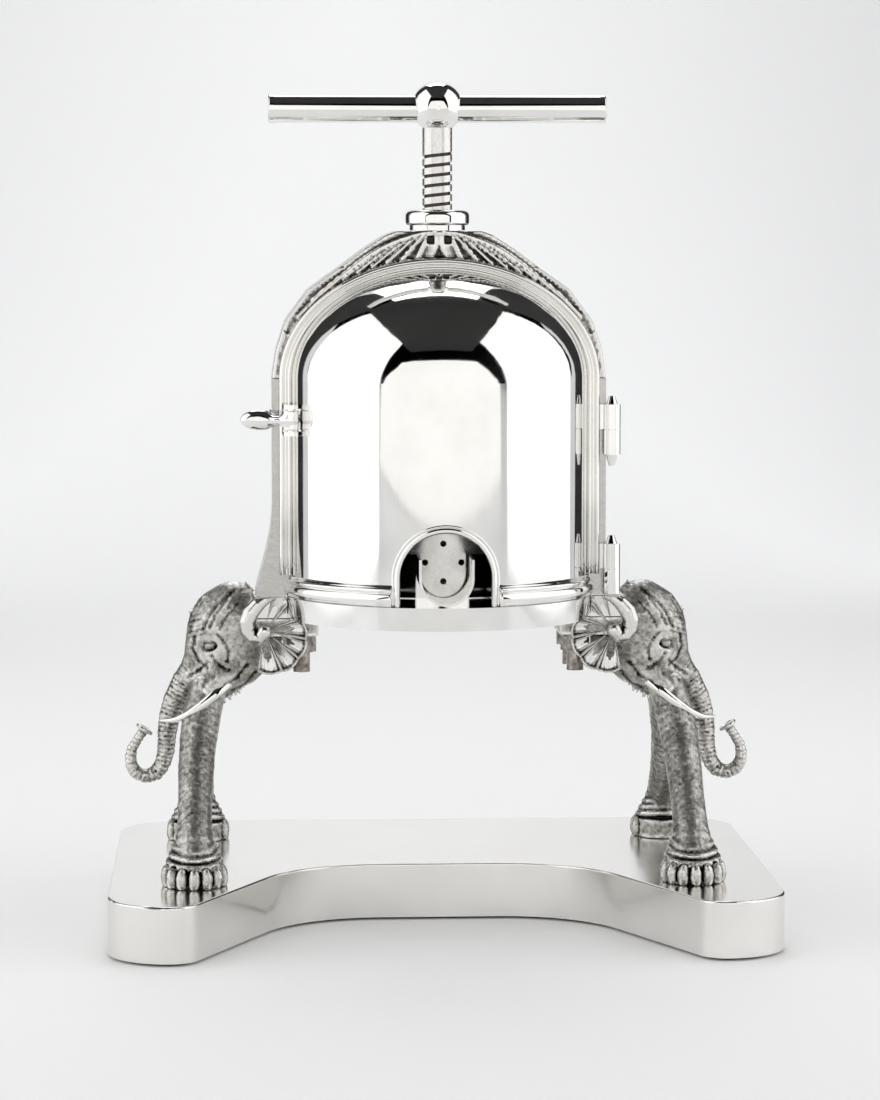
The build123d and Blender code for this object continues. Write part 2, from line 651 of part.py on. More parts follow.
def make_half_bell(face, prefix):
    """Shell, arched rim and bottom ring of one half of the bell."""
    front = face < 0
    plane = upright_plane(face)
    filled = bell_solid(face)
    cavity = bell_solid(face, -SHEET)
    notch = notch_face()
    notch_edge = notch_face(NOTCH_BORDER)
    opening = arch_face(RIM_HALF_WIDTH, RIM_RISE)
    screw_holes = shell_screws(SEAT_GAP)
    with BuildPart() as shell:
        add(filled)
        add(cavity, mode=Mode.SUBTRACT)
        if front:
            with BuildSketch(plane):
                add(notch)
            extrude(amount=BELL_RADIUS, mode=Mode.SUBTRACT)
    save(shell, f"{prefix}_shell")

    with BuildPart() as rim:
        with BuildSketch(plane):
            add(opening)
        extrude(amount=RIM_DEPTH)
        fillet(rim.faces().sort_by(Axis.Y)[0 if front else -1].edges(), radius=2.5)
        add(filled, mode=Mode.SUBTRACT)
        with BuildSketch(Plane.XY.offset(BELL_BOTTOM)):
            Rectangle(2 * BASE_WIDTH, 2 * BASE_DEPTH)
        extrude(amount=RING_HEIGHT, mode=Mode.SUBTRACT)
        if not front:
            add(screw_holes, mode=Mode.SUBTRACT)
    save(rim, f"{prefix}_rim")

    with BuildPart() as ring:
        with BuildSketch(plane):
            with Locations((0, BELL_BOTTOM)):
                Rectangle(2 * RING_BLOCK_HALF_WIDTH, RING_HEIGHT, align=(Align.CENTER, Align.MIN))
        extrude(amount=RING_BLOCK_DEPTH)
        with BuildSketch(Plane.XY.offset(BELL_BOTTOM)):
            with Locations((0, face * BELL_AXIS_Y)):
                Circle(BELL_RADIUS + RING_PROUD)
            with Locations((0, -face * (BASE_DEPTH - BELL_FACE_Y))):
                Rectangle(2 * BASE_WIDTH, 2 * BASE_DEPTH, mode=Mode.SUBTRACT)
        extrude(amount=RING_HEIGHT)
        add(filled, mode=Mode.SUBTRACT)
        if front:
            with BuildSketch(plane):
                add(notch_edge)
            extrude(amount=BELL_RADIUS, mode=Mode.SUBTRACT)
    save(ring, f"{prefix}_ring")


def make_notch_moulding():
    outer_edge = notch_face(NOTCH_BORDER)
    inner_edge = notch_face()
    proud = bell_solid(-1, NOTCH_PROUD)
    filled = bell_solid(-1)
    with BuildPart() as notch_moulding:
        with BuildSketch(upright_plane(-1)):
            add(outer_edge)
            add(inner_edge, mode=Mode.SUBTRACT)
        extrude(amount=BELL_RADIUS)
        add(proud, mode=Mode.INTERSECT)
        add(filled, mode=Mode.SUBTRACT)
    save(notch_moulding, "notch_moulding")


def shell_screws(grow=0.0):
    """Screws that hold the rear half of the bell to the columns."""
    x = (RIM_HALF_WIDTH + FRAME_INNER_HALF) / 2 + 1
    heights = (TABLE_TOP + 2 * RING_HEIGHT, (TABLE_TOP + SPRING) / 2 + 8, SPRING - RING_HEIGHT)
    back = BELL_FACE_Y + RIM_DEPTH
    with BuildPart() as screws:
        with BuildSketch(Plane.XZ.offset(-back)):
            with Locations(*[(i * x, z) for i in (-1, 1) for z in heights]):
                Circle(SHELL_SCREW_RADIUS + grow)
        extrude(amount=SHELL_SCREW_LENGTH + grow)
        if not grow:
            with BuildSketch(Plane.XZ.offset(-back)):
                with Locations(*[(i * x, z) for i in (-1, 1) for z in heights]):
                    Circle(SHELL_SCREW_HEAD)
            extrude(amount=-1.6)
    return screws.part


def make_shell_screws():
    screws = shell_screws()
    with BuildPart() as rear_shell_screws:
        add(screws)
    save(rear_shell_screws, "rear_shell_screws")


# ---------------------------------------------------------------- hinges and latch
def hinge_knuckle(bottom, bore_gap):
    """A barrel on the hinge axis, bored for the pin."""
    with BuildPart() as knuckle:
        with BuildSketch(Plane.XY.offset(bottom)):
            with Locations((HINGE_X, HINGE_Y)):
                Circle(KNUCKLE_RADIUS)
                Circle(HINGE_PIN_RADIUS + bore_gap, mode=Mode.SUBTRACT)
        extrude(amount=KNUCKLE_LENGTH)
    return knuckle.part


def make_hinge(label, middle):
    """Door half above, frame half below, meeting at the given height."""
    door_bottom = middle + FREE_GAP / 2
    frame_bottom = middle - FREE_GAP / 2 - KNUCKLE_LENGTH
    door_knuckle = hinge_knuckle(door_bottom, RUNNING_FIT)
    frame_knuckle = hinge_knuckle(frame_bottom, SEAT_GAP / 2)
    with BuildPart() as door_half:
        with BuildSketch(Plane.XY.offset(door_bottom)):
            with Locations((RIM_HALF_WIDTH, -BELL_FACE_Y - RIM_DEPTH / 2)):
                Rectangle(HINGE_X - RIM_HALF_WIDTH, LEAF_THICKNESS, align=(Align.MIN, Align.CENTER))
            with Locations((HINGE_X, HINGE_Y)):
                Circle(KNUCKLE_RADIUS - LEAF_BITE, mode=Mode.SUBTRACT)
        extrude(amount=KNUCKLE_LENGTH)
        add(door_knuckle)
    save(door_half, f"{label}_hinge_door_half")

    with BuildPart() as frame_half:
        with BuildSketch(Plane.XY.offset(frame_bottom)):
            with Locations((FRAME_HALF_WIDTH, HINGE_Y)):
                Rectangle(LEAF_THICKNESS, LEAF_LENGTH - HINGE_Y - FRAME_HALF_DEPTH,
                          align=(Align.MIN, Align.MIN))
            with Locations((HINGE_X, HINGE_Y)):
                Circle(KNUCKLE_RADIUS - LEAF_BITE, mode=Mode.SUBTRACT)
        extrude(amount=KNUCKLE_LENGTH)
        add(frame_knuckle)
    save(frame_half, f"{label}_hinge_frame_half")


def make_hinge_pins():
    """Both hinge pins, each with a turned finial at its two ends."""
    with BuildPart() as hinge_pins:
        for middle in (UPPER_HINGE, LOWER_HINGE):
            top = middle + FREE_GAP / 2 + KNUCKLE_LENGTH + FREE_GAP / 2
            bottom = middle - FREE_GAP / 2 - KNUCKLE_LENGTH
            with BuildSketch(Plane.XY.offset(bottom)):
                with Locations((HINGE_X, HINGE_Y)):
                    Circle(HINGE_PIN_RADIUS)
            extrude(amount=top - bottom)
            with Locations((HINGE_X, HINGE_Y, top)):
                Cone(FINIAL_RADIUS, FINIAL_RADIUS / 2, FINIAL_HEIGHT,
                     align=(Align.CENTER, Align.CENTER, Align.MIN))
            if middle == UPPER_HINGE:
                with Locations((HINGE_X, HINGE_Y, bottom)):
                    Cone(FINIAL_RADIUS / 2, FINIAL_RADIUS, FINIAL_DROP,
                         align=(Align.CENTER, Align.CENTER, Align.MAX))
    save(hinge_pins, "hinge_pins")


def make_latch():
    """Hooked lever on an upright pin, its lug on the door and its keeper on the column."""
    half = LATCH_HEIGHT / 2
    barrel = LATCH_BARREL_RADIUS
    slot_bottom = LATCH_Z - half - FREE_GAP
    lug_bottom = slot_bottom - LATCH_EAR
    lug_height = LATCH_HEIGHT + 2 * FREE_GAP + 2 * LATCH_EAR
    pin_point = (LATCH_X, LATCH_Y)
    rim_front = -BELL_FACE_Y - RIM_DEPTH
    filled = bell_solid(-1)
    with BuildPart() as latch_lug:
        with BuildSketch(Plane.XY.offset(lug_bottom)):
            with Locations(pin_point):
                Circle(barrel)
                Rectangle(2 * barrel, rim_front - LATCH_Y, align=(Align.CENTER, Align.MIN))
        extrude(amount=lug_height)
        with BuildSketch(Plane.XY.offset(slot_bottom)):
            with Locations(pin_point):
                Rectangle(4 * barrel, 3.6 * barrel)
        extrude(amount=LATCH_HEIGHT + 2 * FREE_GAP, mode=Mode.SUBTRACT)
        with BuildSketch(Plane.XY.offset(lug_bottom)):
            with Locations(pin_point):
                Circle(LATCH_PIN_RADIUS + SEAT_GAP / 2)
        extrude(amount=lug_height, mode=Mode.SUBTRACT)
        add(filled, mode=Mode.SUBTRACT)
    save(latch_lug, "latch_lug")
    stud_set("latch_pin", [pin_point], LATCH_PIN_RADIUS, lug_bottom, lug_bottom + lug_height)

    keeper = -FRAME_HALF_WIDTH - KEEPER_PLATE
    inside = keeper - FREE_GAP
    nose_y = -FRAME_HALF_DEPTH + 7
    with BuildPart() as latch_lever:
        with BuildSketch(Plane.XY.offset(LATCH_Z - half)):
            with BuildLine():
                front = Spline(
                    (LATCH_X, LATCH_Y - barrel), (inside - 5, LATCH_Y + 4),
                    (LATCH_TIP_X, LATCH_Y + 22), tangents=((-1, 0), (-0.4, 1)),
                )
                Polyline(
                    front @ 1, (LATCH_TIP_X + 2.5, LATCH_Y + 25), (inside - 9.5, LATCH_Y + 19),
                    (inside - 5, nose_y - 1.5), (inside, nose_y), (inside, rim_front - 1.5),
                    (LATCH_X, LATCH_Y + barrel), front @ 0,
                )
            make_face()
            with Locations(pin_point):
                Circle(barrel)
                Circle(LATCH_PIN_RADIUS + RUNNING_FIT, mode=Mode.SUBTRACT)
        extrude(amount=LATCH_HEIGHT)
    save(latch_lever, "latch_lever")

    with BuildPart() as latch_keeper:
        with BuildSketch(Plane.XY.offset(LATCH_Z - half)):
            with Locations((-FRAME_HALF_WIDTH, -FRAME_HALF_DEPTH)):
                Rectangle(KEEPER_PLATE, 10, align=(Align.MAX, Align.MIN))
        extrude(amount=LATCH_HEIGHT)
    save(latch_keeper, "latch_keeper")


# ---------------------------------------------------------------- strainer and tray
def make_tray():
    floor = TABLE_TOP + TRAY_WALL
    throat = -TRAY_RADIUS + 2 * TRAY_WALL
    spout_length = throat - SPOUT_TIP_Y
    centre = floor + SPOUT_HALF_WIDTH
    inner = SPOUT_HALF_WIDTH - TRAY_WALL
    top = TABLE_TOP + TRAY_HEIGHT
    with BuildPart() as juice_tray:
        with BuildSketch(Plane.XY.offset(TABLE_TOP)):
            Circle(TRAY_RADIUS)
        extrude(amount=TRAY_HEIGHT)
        with BuildSketch(Plane.XZ.offset(-throat)):
            with Locations((0, centre)):
                Circle(SPOUT_HALF_WIDTH)
                Rectangle(2 * SPOUT_HALF_WIDTH, top - centre, align=(Align.CENTER, Align.MIN))
        extrude(amount=spout_length)
        with BuildSketch(Plane.XY.offset(floor)):
            Circle(TRAY_RADIUS - TRAY_WALL)
        extrude(amount=TRAY_HEIGHT, mode=Mode.SUBTRACT)
        with BuildSketch(Plane.XZ.offset(-throat)):
            with Locations((0, centre)):
                Circle(inner)
                Rectangle(2 * inner, TRAY_HEIGHT, align=(Align.CENTER, Align.MIN))
        extrude(amount=spout_length, mode=Mode.SUBTRACT)
    save(juice_tray, "juice_tray")


def make_strainer():
    bottom = TABLE_TOP + TRAY_WALL
    inner = STRAINER_RADIUS - STRAINER_WALL
    row_pitch = STRAINER_HEIGHT / (STRAINER_ROWS + 1)
    with BuildPart() as strainer:
        with BuildSketch(Plane.XY.offset(bottom)):
            Circle(STRAINER_RADIUS)
            Circle(inner, mode=Mode.SUBTRACT)
        extrude(amount=STRAINER_HEIGHT)
        with BuildSketch(Plane.XY.offset(bottom + STRAINER_HEIGHT - RIM_BEAD)):
            Circle(STRAINER_RADIUS + RIM_BEAD)
            Circle(inner, mode=Mode.SUBTRACT)
        extrude(amount=RIM_BEAD)
        for row in range(STRAINER_ROWS):
            turn = 180 / STRAINER_COLUMNS * (row % 2)
            height = bottom + (row + 1) * row_pitch
            with Locations((0, 0, height)):
                with PolarLocations(STRAINER_RADIUS, STRAINER_COLUMNS, start_angle=turn):
                    Cylinder(STRAINER_HOLE, 4 * STRAINER_WALL, rotation=(0, 90, 0),
                             mode=Mode.SUBTRACT)
    save(strainer, "strainer")


# ---------------------------------------------------------------- press plate and screw
def make_press_plate():
    plate_top = PLATE_BOTTOM + PLATE_THICKNESS
    socket = SWIVEL_FLANGE_RADIUS + RUNNING_FIT + SEAT_GAP
    socket_depth = SWIVEL_FLANGE_HEIGHT + 2 * FREE_GAP
    screws = PolarLocations(KEEPER_SCREW_CIRCLE, 4, start_angle=45)
    with BuildPart() as press_plate:
        with BuildSketch(Plane.XY.offset(PLATE_BOTTOM)):
            Circle(PLATE_RADIUS)
        extrude(amount=PLATE_THICKNESS)
        fillet(press_plate.edges(), radius=1.5)
        with BuildSketch(Plane.XY.offset(plate_top)):
            Circle(BOSS_RADIUS)
        extrude(amount=BOSS_HEIGHT)
        with BuildSketch(Plane.XY.offset(BOSS_TOP - socket_depth)):
            Circle(socket)
        extrude(amount=socket_depth, mode=Mode.SUBTRACT)
        with BuildSketch(Plane.XY.offset(KEEPER_TOP - KEEPER_SCREW_LENGTH)):
            with screws:
                Circle(KEEPER_SCREW_RADIUS + SEAT_GAP)
        extrude(amount=KEEPER_SCREW_LENGTH, mode=Mode.SUBTRACT)
    save(press_plate, "press_plate")

    with BuildPart() as swivel_keeper:
        with BuildSketch(Plane.XY.offset(BOSS_TOP)):
            Circle(BOSS_RADIUS)
            Circle(SWIVEL_NECK_RADIUS + RUNNING_FIT, mode=Mode.SUBTRACT)
            Rectangle(2 * SEAT_GAP, 2 * BOSS_RADIUS, mode=Mode.SUBTRACT)
            with screws:
                Circle(KEEPER_SCREW_RADIUS + SEAT_GAP, mode=Mode.SUBTRACT)
        extrude(amount=KEEPER_THICKNESS)
    save(swivel_keeper, "swivel_keeper")

    with BuildPart() as keeper_screws:
        with BuildSketch(Plane.XY.offset(KEEPER_TOP - KEEPER_SCREW_LENGTH)):
            with screws:
                Circle(KEEPER_SCREW_RADIUS)
        extrude(amount=KEEPER_SCREW_LENGTH)
        with BuildSketch(Plane.XY.offset(KEEPER_TOP)):
            with screws:
                Circle(1.7 * KEEPER_SCREW_RADIUS)
        extrude(amount=1.6)
    save(keeper_screws, "keeper_screws")


def make_screw():
    flange_bottom = BOSS_TOP - SWIVEL_FLANGE_HEIGHT - FREE_GAP
    shoulder = KEEPER_TOP + 2 * FREE_GAP + 1.6
    bar_bore = BAR_RADIUS + SEAT_GAP
    screw_top = BAR_Z - BAR_RADIUS - SEAT_GAP
    ball_bottom = BALL_Z - BALL_RADIUS
    with BuildPart() as screw_spindle:
        with BuildSketch(Plane.XY.offset(flange_bottom)):
            Circle(SWIVEL_FLANGE_RADIUS)
        extrude(amount=SWIVEL_FLANGE_HEIGHT)
        with BuildSketch(Plane.XY.offset(flange_bottom)):
            Circle(SWIVEL_NECK_RADIUS)
        extrude(amount=shoulder - flange_bottom)
        with BuildSketch(Plane.XY.offset(shoulder)):
            Circle(SCREW_RADIUS)
        extrude(amount=screw_top - shoulder)
        with BuildLine():
            thread = Helix(SCREW_LEAD, THREAD_TOP - shoulder + SCREW_LEAD, SCREW_RADIUS,
                           center=(0, 0, shoulder - SCREW_LEAD))
        with BuildSketch(Plane(origin=thread @ 0, x_dir=(1, 0, 0), z_dir=thread % 0)):
            Rectangle(2 * THREAD_DEPTH, THREAD_GROOVE)
        sweep(path=thread, is_frenet=True, mode=Mode.SUBTRACT)
    save(screw_spindle, "screw_spindle")

    with BuildPart() as ball_hub:
        with Locations((0, 0, BALL_Z)):
            Sphere(BALL_RADIUS)
        with BuildSketch(Plane.XY.offset(ball_bottom)):
            Circle(SCREW_RADIUS + SEAT_GAP)
        extrude(amount=BALL_RADIUS, mode=Mode.SUBTRACT)
        with BuildSketch(Plane.YZ.offset(-BALL_RADIUS)):
            with Locations((0, BAR_Z)):
                Circle(bar_bore)
        extrude(amount=2 * BALL_RADIUS, mode=Mode.SUBTRACT)
        with BuildSketch(Plane.XZ.offset(BALL_RADIUS)):
            with Locations((0, BAR_Z)):
                Circle(BALL_PIN_RADIUS + SEAT_GAP / 2)
        extrude(amount=-BALL_RADIUS, mode=Mode.SUBTRACT)
    save(ball_hub, "ball_hub")


def make_bar():
    half = BAR_LENGTH / 2
    with BuildPart() as tbar:
        with BuildSketch(Plane.YZ.offset(-half + CAP_LENGTH)):
            with Locations((0, BAR_Z)):
                Circle(BAR_RADIUS)
        extrude(amount=2 * (half - CAP_LENGTH))
        with BuildSketch(Plane.XZ.offset(BAR_RADIUS + 1)):
            with Locations((0, BAR_Z)):
                Circle(BALL_PIN_RADIUS + SEAT_GAP / 2)
        extrude(amount=-BAR_RADIUS / 2, mode=Mode.SUBTRACT)
    save(tbar, "tbar")

    with BuildPart() as tbar_caps:
        for start in (-half, half - CAP_LENGTH):
            with BuildSketch(Plane.YZ.offset(start)):
                with Locations((0, BAR_Z)):
                    Circle(BAR_RADIUS + CAP_PROUD)
            extrude(amount=CAP_LENGTH)
        ends = tbar_caps.faces().filter_by(Axis.X).group_by(Axis.X)
        fillet((ends[0] + ends[-1]).edges(), radius=1.2)
    save(tbar_caps, "tbar_caps")

    with BuildPart() as ball_pin:
        with BuildSketch(Plane.XZ.offset(BALL_PIN_REACH)):
            with Locations((0, BAR_Z)):
                Circle(BALL_PIN_RADIUS)
        extrude(amount=-(BALL_PIN_REACH - BAR_RADIUS + 3))
    save(ball_pin, "ball_pin")


def make_nut():
    running = SCREW_RADIUS + RUNNING_FIT
    with BuildPart() as nut_bush:
        for bottom, top, radius in (
            (BUSH_BOTTOM, ARCH_TOP, BUSH_RADIUS),
            (ARCH_TOP, COLLAR_BOTTOM, BUSH_NECK_RADIUS),
            (COLLAR_BOTTOM, COLLAR_TOP, COLLAR_RADIUS),
        ):
            with BuildSketch(Plane.XY.offset(bottom)):
                Circle(radius)
                Circle(running, mode=Mode.SUBTRACT)
            extrude(amount=top - bottom)
        rims = nut_bush.edges().filter_by(GeomType.CIRCLE)
        collar_edges = rims.filter_by(lambda e: abs(e.radius - COLLAR_RADIUS) < 0.01)
        fillet(collar_edges.sort_by(Axis.Z)[-1], radius=COLLAR_ROUND)
        fillet(collar_edges.sort_by(Axis.Z)[0], radius=COLLAR_ROUND / 2)
        with BuildSketch(Plane.XZ.offset(-COLLAR_RADIUS)):
            with Locations((0, LOCK_SCREW_Z)):
                Circle(LOCK_SCREW_RADIUS + SEAT_GAP)
        extrude(amount=COLLAR_RADIUS - BUSH_RADIUS + 3, mode=Mode.SUBTRACT)
    save(nut_bush, "nut_bush")

    with BuildPart() as nut_lock_screw:
        with BuildSketch(Plane.XZ.offset(-FRAME_HALF_DEPTH + 0.5)):
            with Locations((0, LOCK_SCREW_Z)):
                Circle(LOCK_SCREW_RADIUS)
        extrude(amount=FRAME_HALF_DEPTH - BUSH_RADIUS + 1.5)
    save(nut_lock_screw, "nut_lock_screw")


# ---------------------------------------------------------------- assembly
os.makedirs("parts", exist_ok=True)
make_base()
heads = {side_name: make_head(side_name) for side_name in SIDES}
for side_name, head in heads.items():
    for face_name in FACES:
        make_face_pieces(side_name, face_name, head)
        make_leg(side_name, face_name, head)
    make_column(side_name)
make_leg_fixings()
make_table()
make_arch()
make_frame_fixings()
make_half_bell(-1, "door")
make_half_bell(1, "rear")
make_notch_moulding()
make_shell_screws()
make_hinge("upper", UPPER_HINGE)
make_hinge("lower", LOWER_HINGE)
make_hinge_pins()
make_latch()
make_tray()
make_strainer()
make_press_plate()
make_screw()
make_bar()
make_nut()
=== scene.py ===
import math

import bmesh
import bpy
import numpy as np
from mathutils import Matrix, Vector


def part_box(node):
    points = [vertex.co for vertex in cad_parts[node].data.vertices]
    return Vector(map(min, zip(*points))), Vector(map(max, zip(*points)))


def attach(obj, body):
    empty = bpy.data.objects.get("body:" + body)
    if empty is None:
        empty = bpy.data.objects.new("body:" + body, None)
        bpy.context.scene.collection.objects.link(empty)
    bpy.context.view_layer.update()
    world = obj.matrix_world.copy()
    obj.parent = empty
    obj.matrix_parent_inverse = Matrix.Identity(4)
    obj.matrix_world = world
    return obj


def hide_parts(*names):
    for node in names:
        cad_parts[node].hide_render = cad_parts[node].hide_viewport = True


# A duck press on elephant supports. Shapes are worked out in millimetres in the press's own
# frame and written in metres. Sculpted pieces are modelled as distance fields on a grid.
# The press is symmetrical, so one of each is sculpted and mirrored.
MM = 0.001
SIDES = {"left": -1, "right": 1}
FACES = {"front": -1, "rear": 1}
TRIM = 0.05             # blend of a cut that leaves a sharp edge
FAR = 200.0             # added to a distance where a cut must not act
rng = np.random.default_rng(7)

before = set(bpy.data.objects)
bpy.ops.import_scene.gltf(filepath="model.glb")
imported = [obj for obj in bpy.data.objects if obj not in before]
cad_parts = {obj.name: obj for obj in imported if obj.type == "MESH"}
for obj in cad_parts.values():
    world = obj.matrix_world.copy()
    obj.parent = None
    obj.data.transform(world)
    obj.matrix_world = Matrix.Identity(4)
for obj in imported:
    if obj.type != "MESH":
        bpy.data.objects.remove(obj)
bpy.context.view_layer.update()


def box_mm(node):
    """Lowest and highest corner of a CAD node, in millimetres."""
    low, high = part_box(node)
    return np.array(low) / MM, np.array(high) / MM


# ---------------------------------------------------------------- sizes shared by several pieces
TABLE_UNDER, TABLE_TOP = 220.0, 236.0
FLANGE_UNDER = 206.6    # underside of the head's flange, which bears the table
HEAD_HALF = 28.5        # half the width of a head
SEAT_END = 132.5        # how far out the head's seat under the table reaches
BELL_RADIUS = 108.0
BELL_AXIS = 10.0        # each half of the bell is round an axis this far from the screw
SPRING = 390.0          # height that the arches spring from


# ---------------------------------------------------------------- mesh making
def make_mesh(name, verts, faces, cavity=None):
    """A smooth-shaded object from vertices in mm and quads or triangles."""
    mesh = bpy.data.meshes.new(name)
    verts = np.asarray(verts, np.float32) * MM
    faces = np.asarray(faces, np.int32)
    sides = faces.shape[1]
    mesh.vertices.add(len(verts))
    mesh.vertices.foreach_set("co", verts.ravel())
    mesh.loops.add(faces.size)
    mesh.loops.foreach_set("vertex_index", faces.ravel())
    mesh.polygons.add(len(faces))
    mesh.polygons.foreach_set("loop_start", np.arange(0, faces.size, sides, dtype=np.int32))
    mesh.update(calc_edges=True)
    mesh.validate()
    mesh.polygons.foreach_set("use_smooth", np.ones(len(mesh.polygons), bool))
    if cavity is not None:
        layer = mesh.attributes.new("cavity", "FLOAT", "POINT")
        layer.data.foreach_set("value", np.asarray(cavity, np.float32))
    obj = bpy.data.objects.new(name, mesh)
    bpy.context.scene.collection.objects.link(obj)
    return obj


def grid_faces(rows, columns, close_rows=False, close_columns=False, start=0):
    """Quads of a grid of vertices, row by row."""
    i = np.arange(rows if close_rows else rows - 1)
    j = np.arange(columns if close_columns else columns - 1)
    i, j = [a.ravel() for a in np.meshgrid(i, j, indexing="ij")]
    i2 = (i + 1) % rows
    j2 = (j + 1) % columns
    return start + np.stack([i * columns + j, i * columns + j2, i2 * columns + j2, i2 * columns + j], 1)


# ---------------------------------------------------------------- sculpting
class Clay:
    """A block of space that holds the distance to a growing shape, in millimetres."""

    def __init__(self, low, high, step):
        axes = [np.arange(a, b + step, step, dtype=np.float32) for a, b in zip(low, high)]
        self.low = np.array(low, np.float32)
        self.step = step
        self.x, self.y, self.z = np.meshgrid(*axes, indexing="ij", sparse=True)
        self.d = np.full([len(a) for a in axes], 1e3, np.float32)

    def ball(self, centre, radii):
        """Distance to an ellipsoid, near enough close to its surface."""
        rx, ry, rz = radii
        p = ((self.x - centre[0]) / rx) ** 2
        p = np.sqrt(p + ((self.y - centre[1]) / ry) ** 2 + ((self.z - centre[2]) / rz) ** 2)
        return (p - 1) * min(radii)

    def limb(self, a, b, ra, rb):
        """Distance to a round limb from a to b, and how far along it each point lies."""
        a, b = np.array(a, np.float32), np.array(b, np.float32)
        axis = b - a
        t = (self.x - a[0]) * axis[0] + (self.y - a[1]) * axis[1] + (self.z - a[2]) * axis[2]
        t = np.clip(t / float(axis @ axis), 0, 1)
        dx = self.x - a[0] - t * axis[0]
        dy = self.y - a[1] - t * axis[1]
        dz = self.z - a[2] - t * axis[2]
        return np.sqrt(dx * dx + dy * dy + dz * dz) - (ra + (rb - ra) * t), t

    def chain(self, points, radii):
        """Distance to a limb through several points, and the length along it."""
        best = np.full(self.d.shape, 1e3, np.float32)
        along = np.zeros(self.d.shape, np.float32)
        length = 0.0
        for a, b, ra, rb in zip(points, points[1:], radii, radii[1:]):
            d, t = self.limb(a, b, ra, rb)
            span = float(np.linalg.norm(np.subtract(b, a)))
            nearer = d < best
            along = np.where(nearer, length + t * span, along)
            best = np.minimum(best, d)
            length += span
        return best, along

    def disc(self, centre, normal, radius, half_thickness):
        """Distance to a round-edged disc."""
        px, py, pz = self.x - centre[0], self.y - centre[1], self.z - centre[2]
        axial = px * normal[0] + py * normal[1] + pz * normal[2]
        radial = np.sqrt(np.maximum(px * px + py * py + pz * pz - axial * axial, 0))
        return np.sqrt(np.maximum(radial - radius, 0) ** 2 + axial ** 2) - half_thickness

    def line_distance(self, points):
        """Distance to a polyline drawn in the side view, ignoring y."""
        best = np.full(self.d[:, :1, :].shape, 1e3, np.float32)
        for (ax, az), (bx, bz) in zip(points, points[1:]):
            ux, uz = bx - ax, bz - az
            t = np.clip(((self.x - ax) * ux + (self.z - az) * uz) / (ux * ux + uz * uz), 0, 1)
            gap = np.sqrt((self.x - ax - t * ux) ** 2 + (self.z - az - t * uz) ** 2)
            best = np.minimum(best, gap)
        return best

    def add(self, d, blend=0.0):
        if blend <= 0:
            self.d = np.minimum(self.d, d)
            return
        h = np.clip(0.5 + 0.5 * (self.d - d) / blend, 0, 1)
        self.d = self.d * (1 - h) + d * h - blend * h * (1 - h)

    def cut(self, d, blend=TRIM):
        h = np.clip(0.5 - 0.5 * (self.d + d) / blend, 0, 1)
        self.d = self.d * (1 - h) - d * h + blend * h * (1 - h)

    def cavity(self, verts):
        """How hollow (positive) or raised (negative) the surface is round each vertex."""
        d = np.clip(self.d, -4, 4)
        for axis in range(3):
            for reach in (1, 2):
                d = (np.roll(d, reach, axis) + np.roll(d, -reach, axis) + d) / 3
        index = np.rint((verts - self.low) / self.step).astype(int)
        index = np.clip(index, 0, np.array(d.shape) - 1)
        i, j, k = index.T
        raw = np.clip(self.d, -4, 4)[i, j, k] - d[i, j, k]
        return raw / self.step

    def surface(self):
        """Vertices and quads of the zero level, by surface nets."""
        d = self.d
        inside = d < 0
        corners = [(a, b, c) for a in (0, 1) for b in (0, 1) for c in (0, 1)]
        n = [s - 1 for s in d.shape]
        count = sum(inside[a:a + n[0], b:b + n[1], c:c + n[2]].astype(np.int8) for a, b, c in corners)
        cells = np.argwhere((count > 0) & (count < 8))
        value = {q: d[cells[:, 0] + q[0], cells[:, 1] + q[1], cells[:, 2] + q[2]] for q in corners}
        total = np.zeros((len(cells), 3), np.float64)
        hits = np.zeros(len(cells))
        for q in corners:
            for axis in range(3):
                if q[axis]:
                    continue
                r = tuple(v + (1 if k == axis else 0) for k, v in enumerate(q))
                da, db = value[q], value[r]
                cross = (da < 0) != (db < 0)
                t = np.where(cross, da / np.where(cross, da - db, 1), 0)
                point = np.array(q, np.float64)[None, :] + t[:, None] * (np.array(r) - np.array(q))
                total += np.where(cross[:, None], point, 0)
                hits += cross
        verts = (cells + total / hits[:, None]) * self.step + self.low
        number = np.full(n, -1, np.int64)
        number[tuple(cells.T)] = np.arange(len(cells))
        quads = []
        for axis in range(3):
            b, c = (axis + 1) % 3, (axis + 2) % 3
            lower = np.take(inside, range(n[axis]), axis)
            upper = np.take(inside, range(1, n[axis] + 1), axis)
            edge = np.argwhere(lower != upper)
            keep = (edge[:, b] > 0) & (edge[:, c] > 0) & (edge[:, b] < n[b]) & (edge[:, c] < n[c])
            edge = edge[keep]
            ring = []
            for ob, oc in ((-1, -1), (0, -1), (0, 0), (-1, 0)):
                cell = edge.copy()
                cell[:, b] += ob
                cell[:, c] += oc
                ring.append(number[tuple(cell.T)])
            quad = np.stack(ring, 1)
            flip = ~lower[tuple(edge.T)]
            quad[flip] = quad[flip][:, ::-1]
            quads.append(quad)
        return verts, np.concatenate(quads)


def mirrored(verts, quads, side, face=-1):
    """The same shape on another side (x) or face (y) of the press."""
    verts = verts * np.array([side, -face, 1.0])
    if side * -face < 0:
        quads = quads[:, ::-1]
    return verts, quads


# ---------------------------------------------------------------- materials
def shader(name, colour, metallic, rough, build=None):
    """A material whose colour, roughness and relief are drawn by `build`."""
    mat = bpy.data.materials.new(name)
    mat.use_nodes = True
    tree = mat.node_tree
    bsdf = next(n for n in tree.nodes if n.type == "BSDF_PRINCIPLED")
    bsdf.inputs["Base Color"].default_value = (*colour, 1)
    bsdf.inputs["Metallic"].default_value = metallic
    bsdf.inputs["Roughness"].default_value = rough
    if build:
        build(tree, bsdf)
    return mat


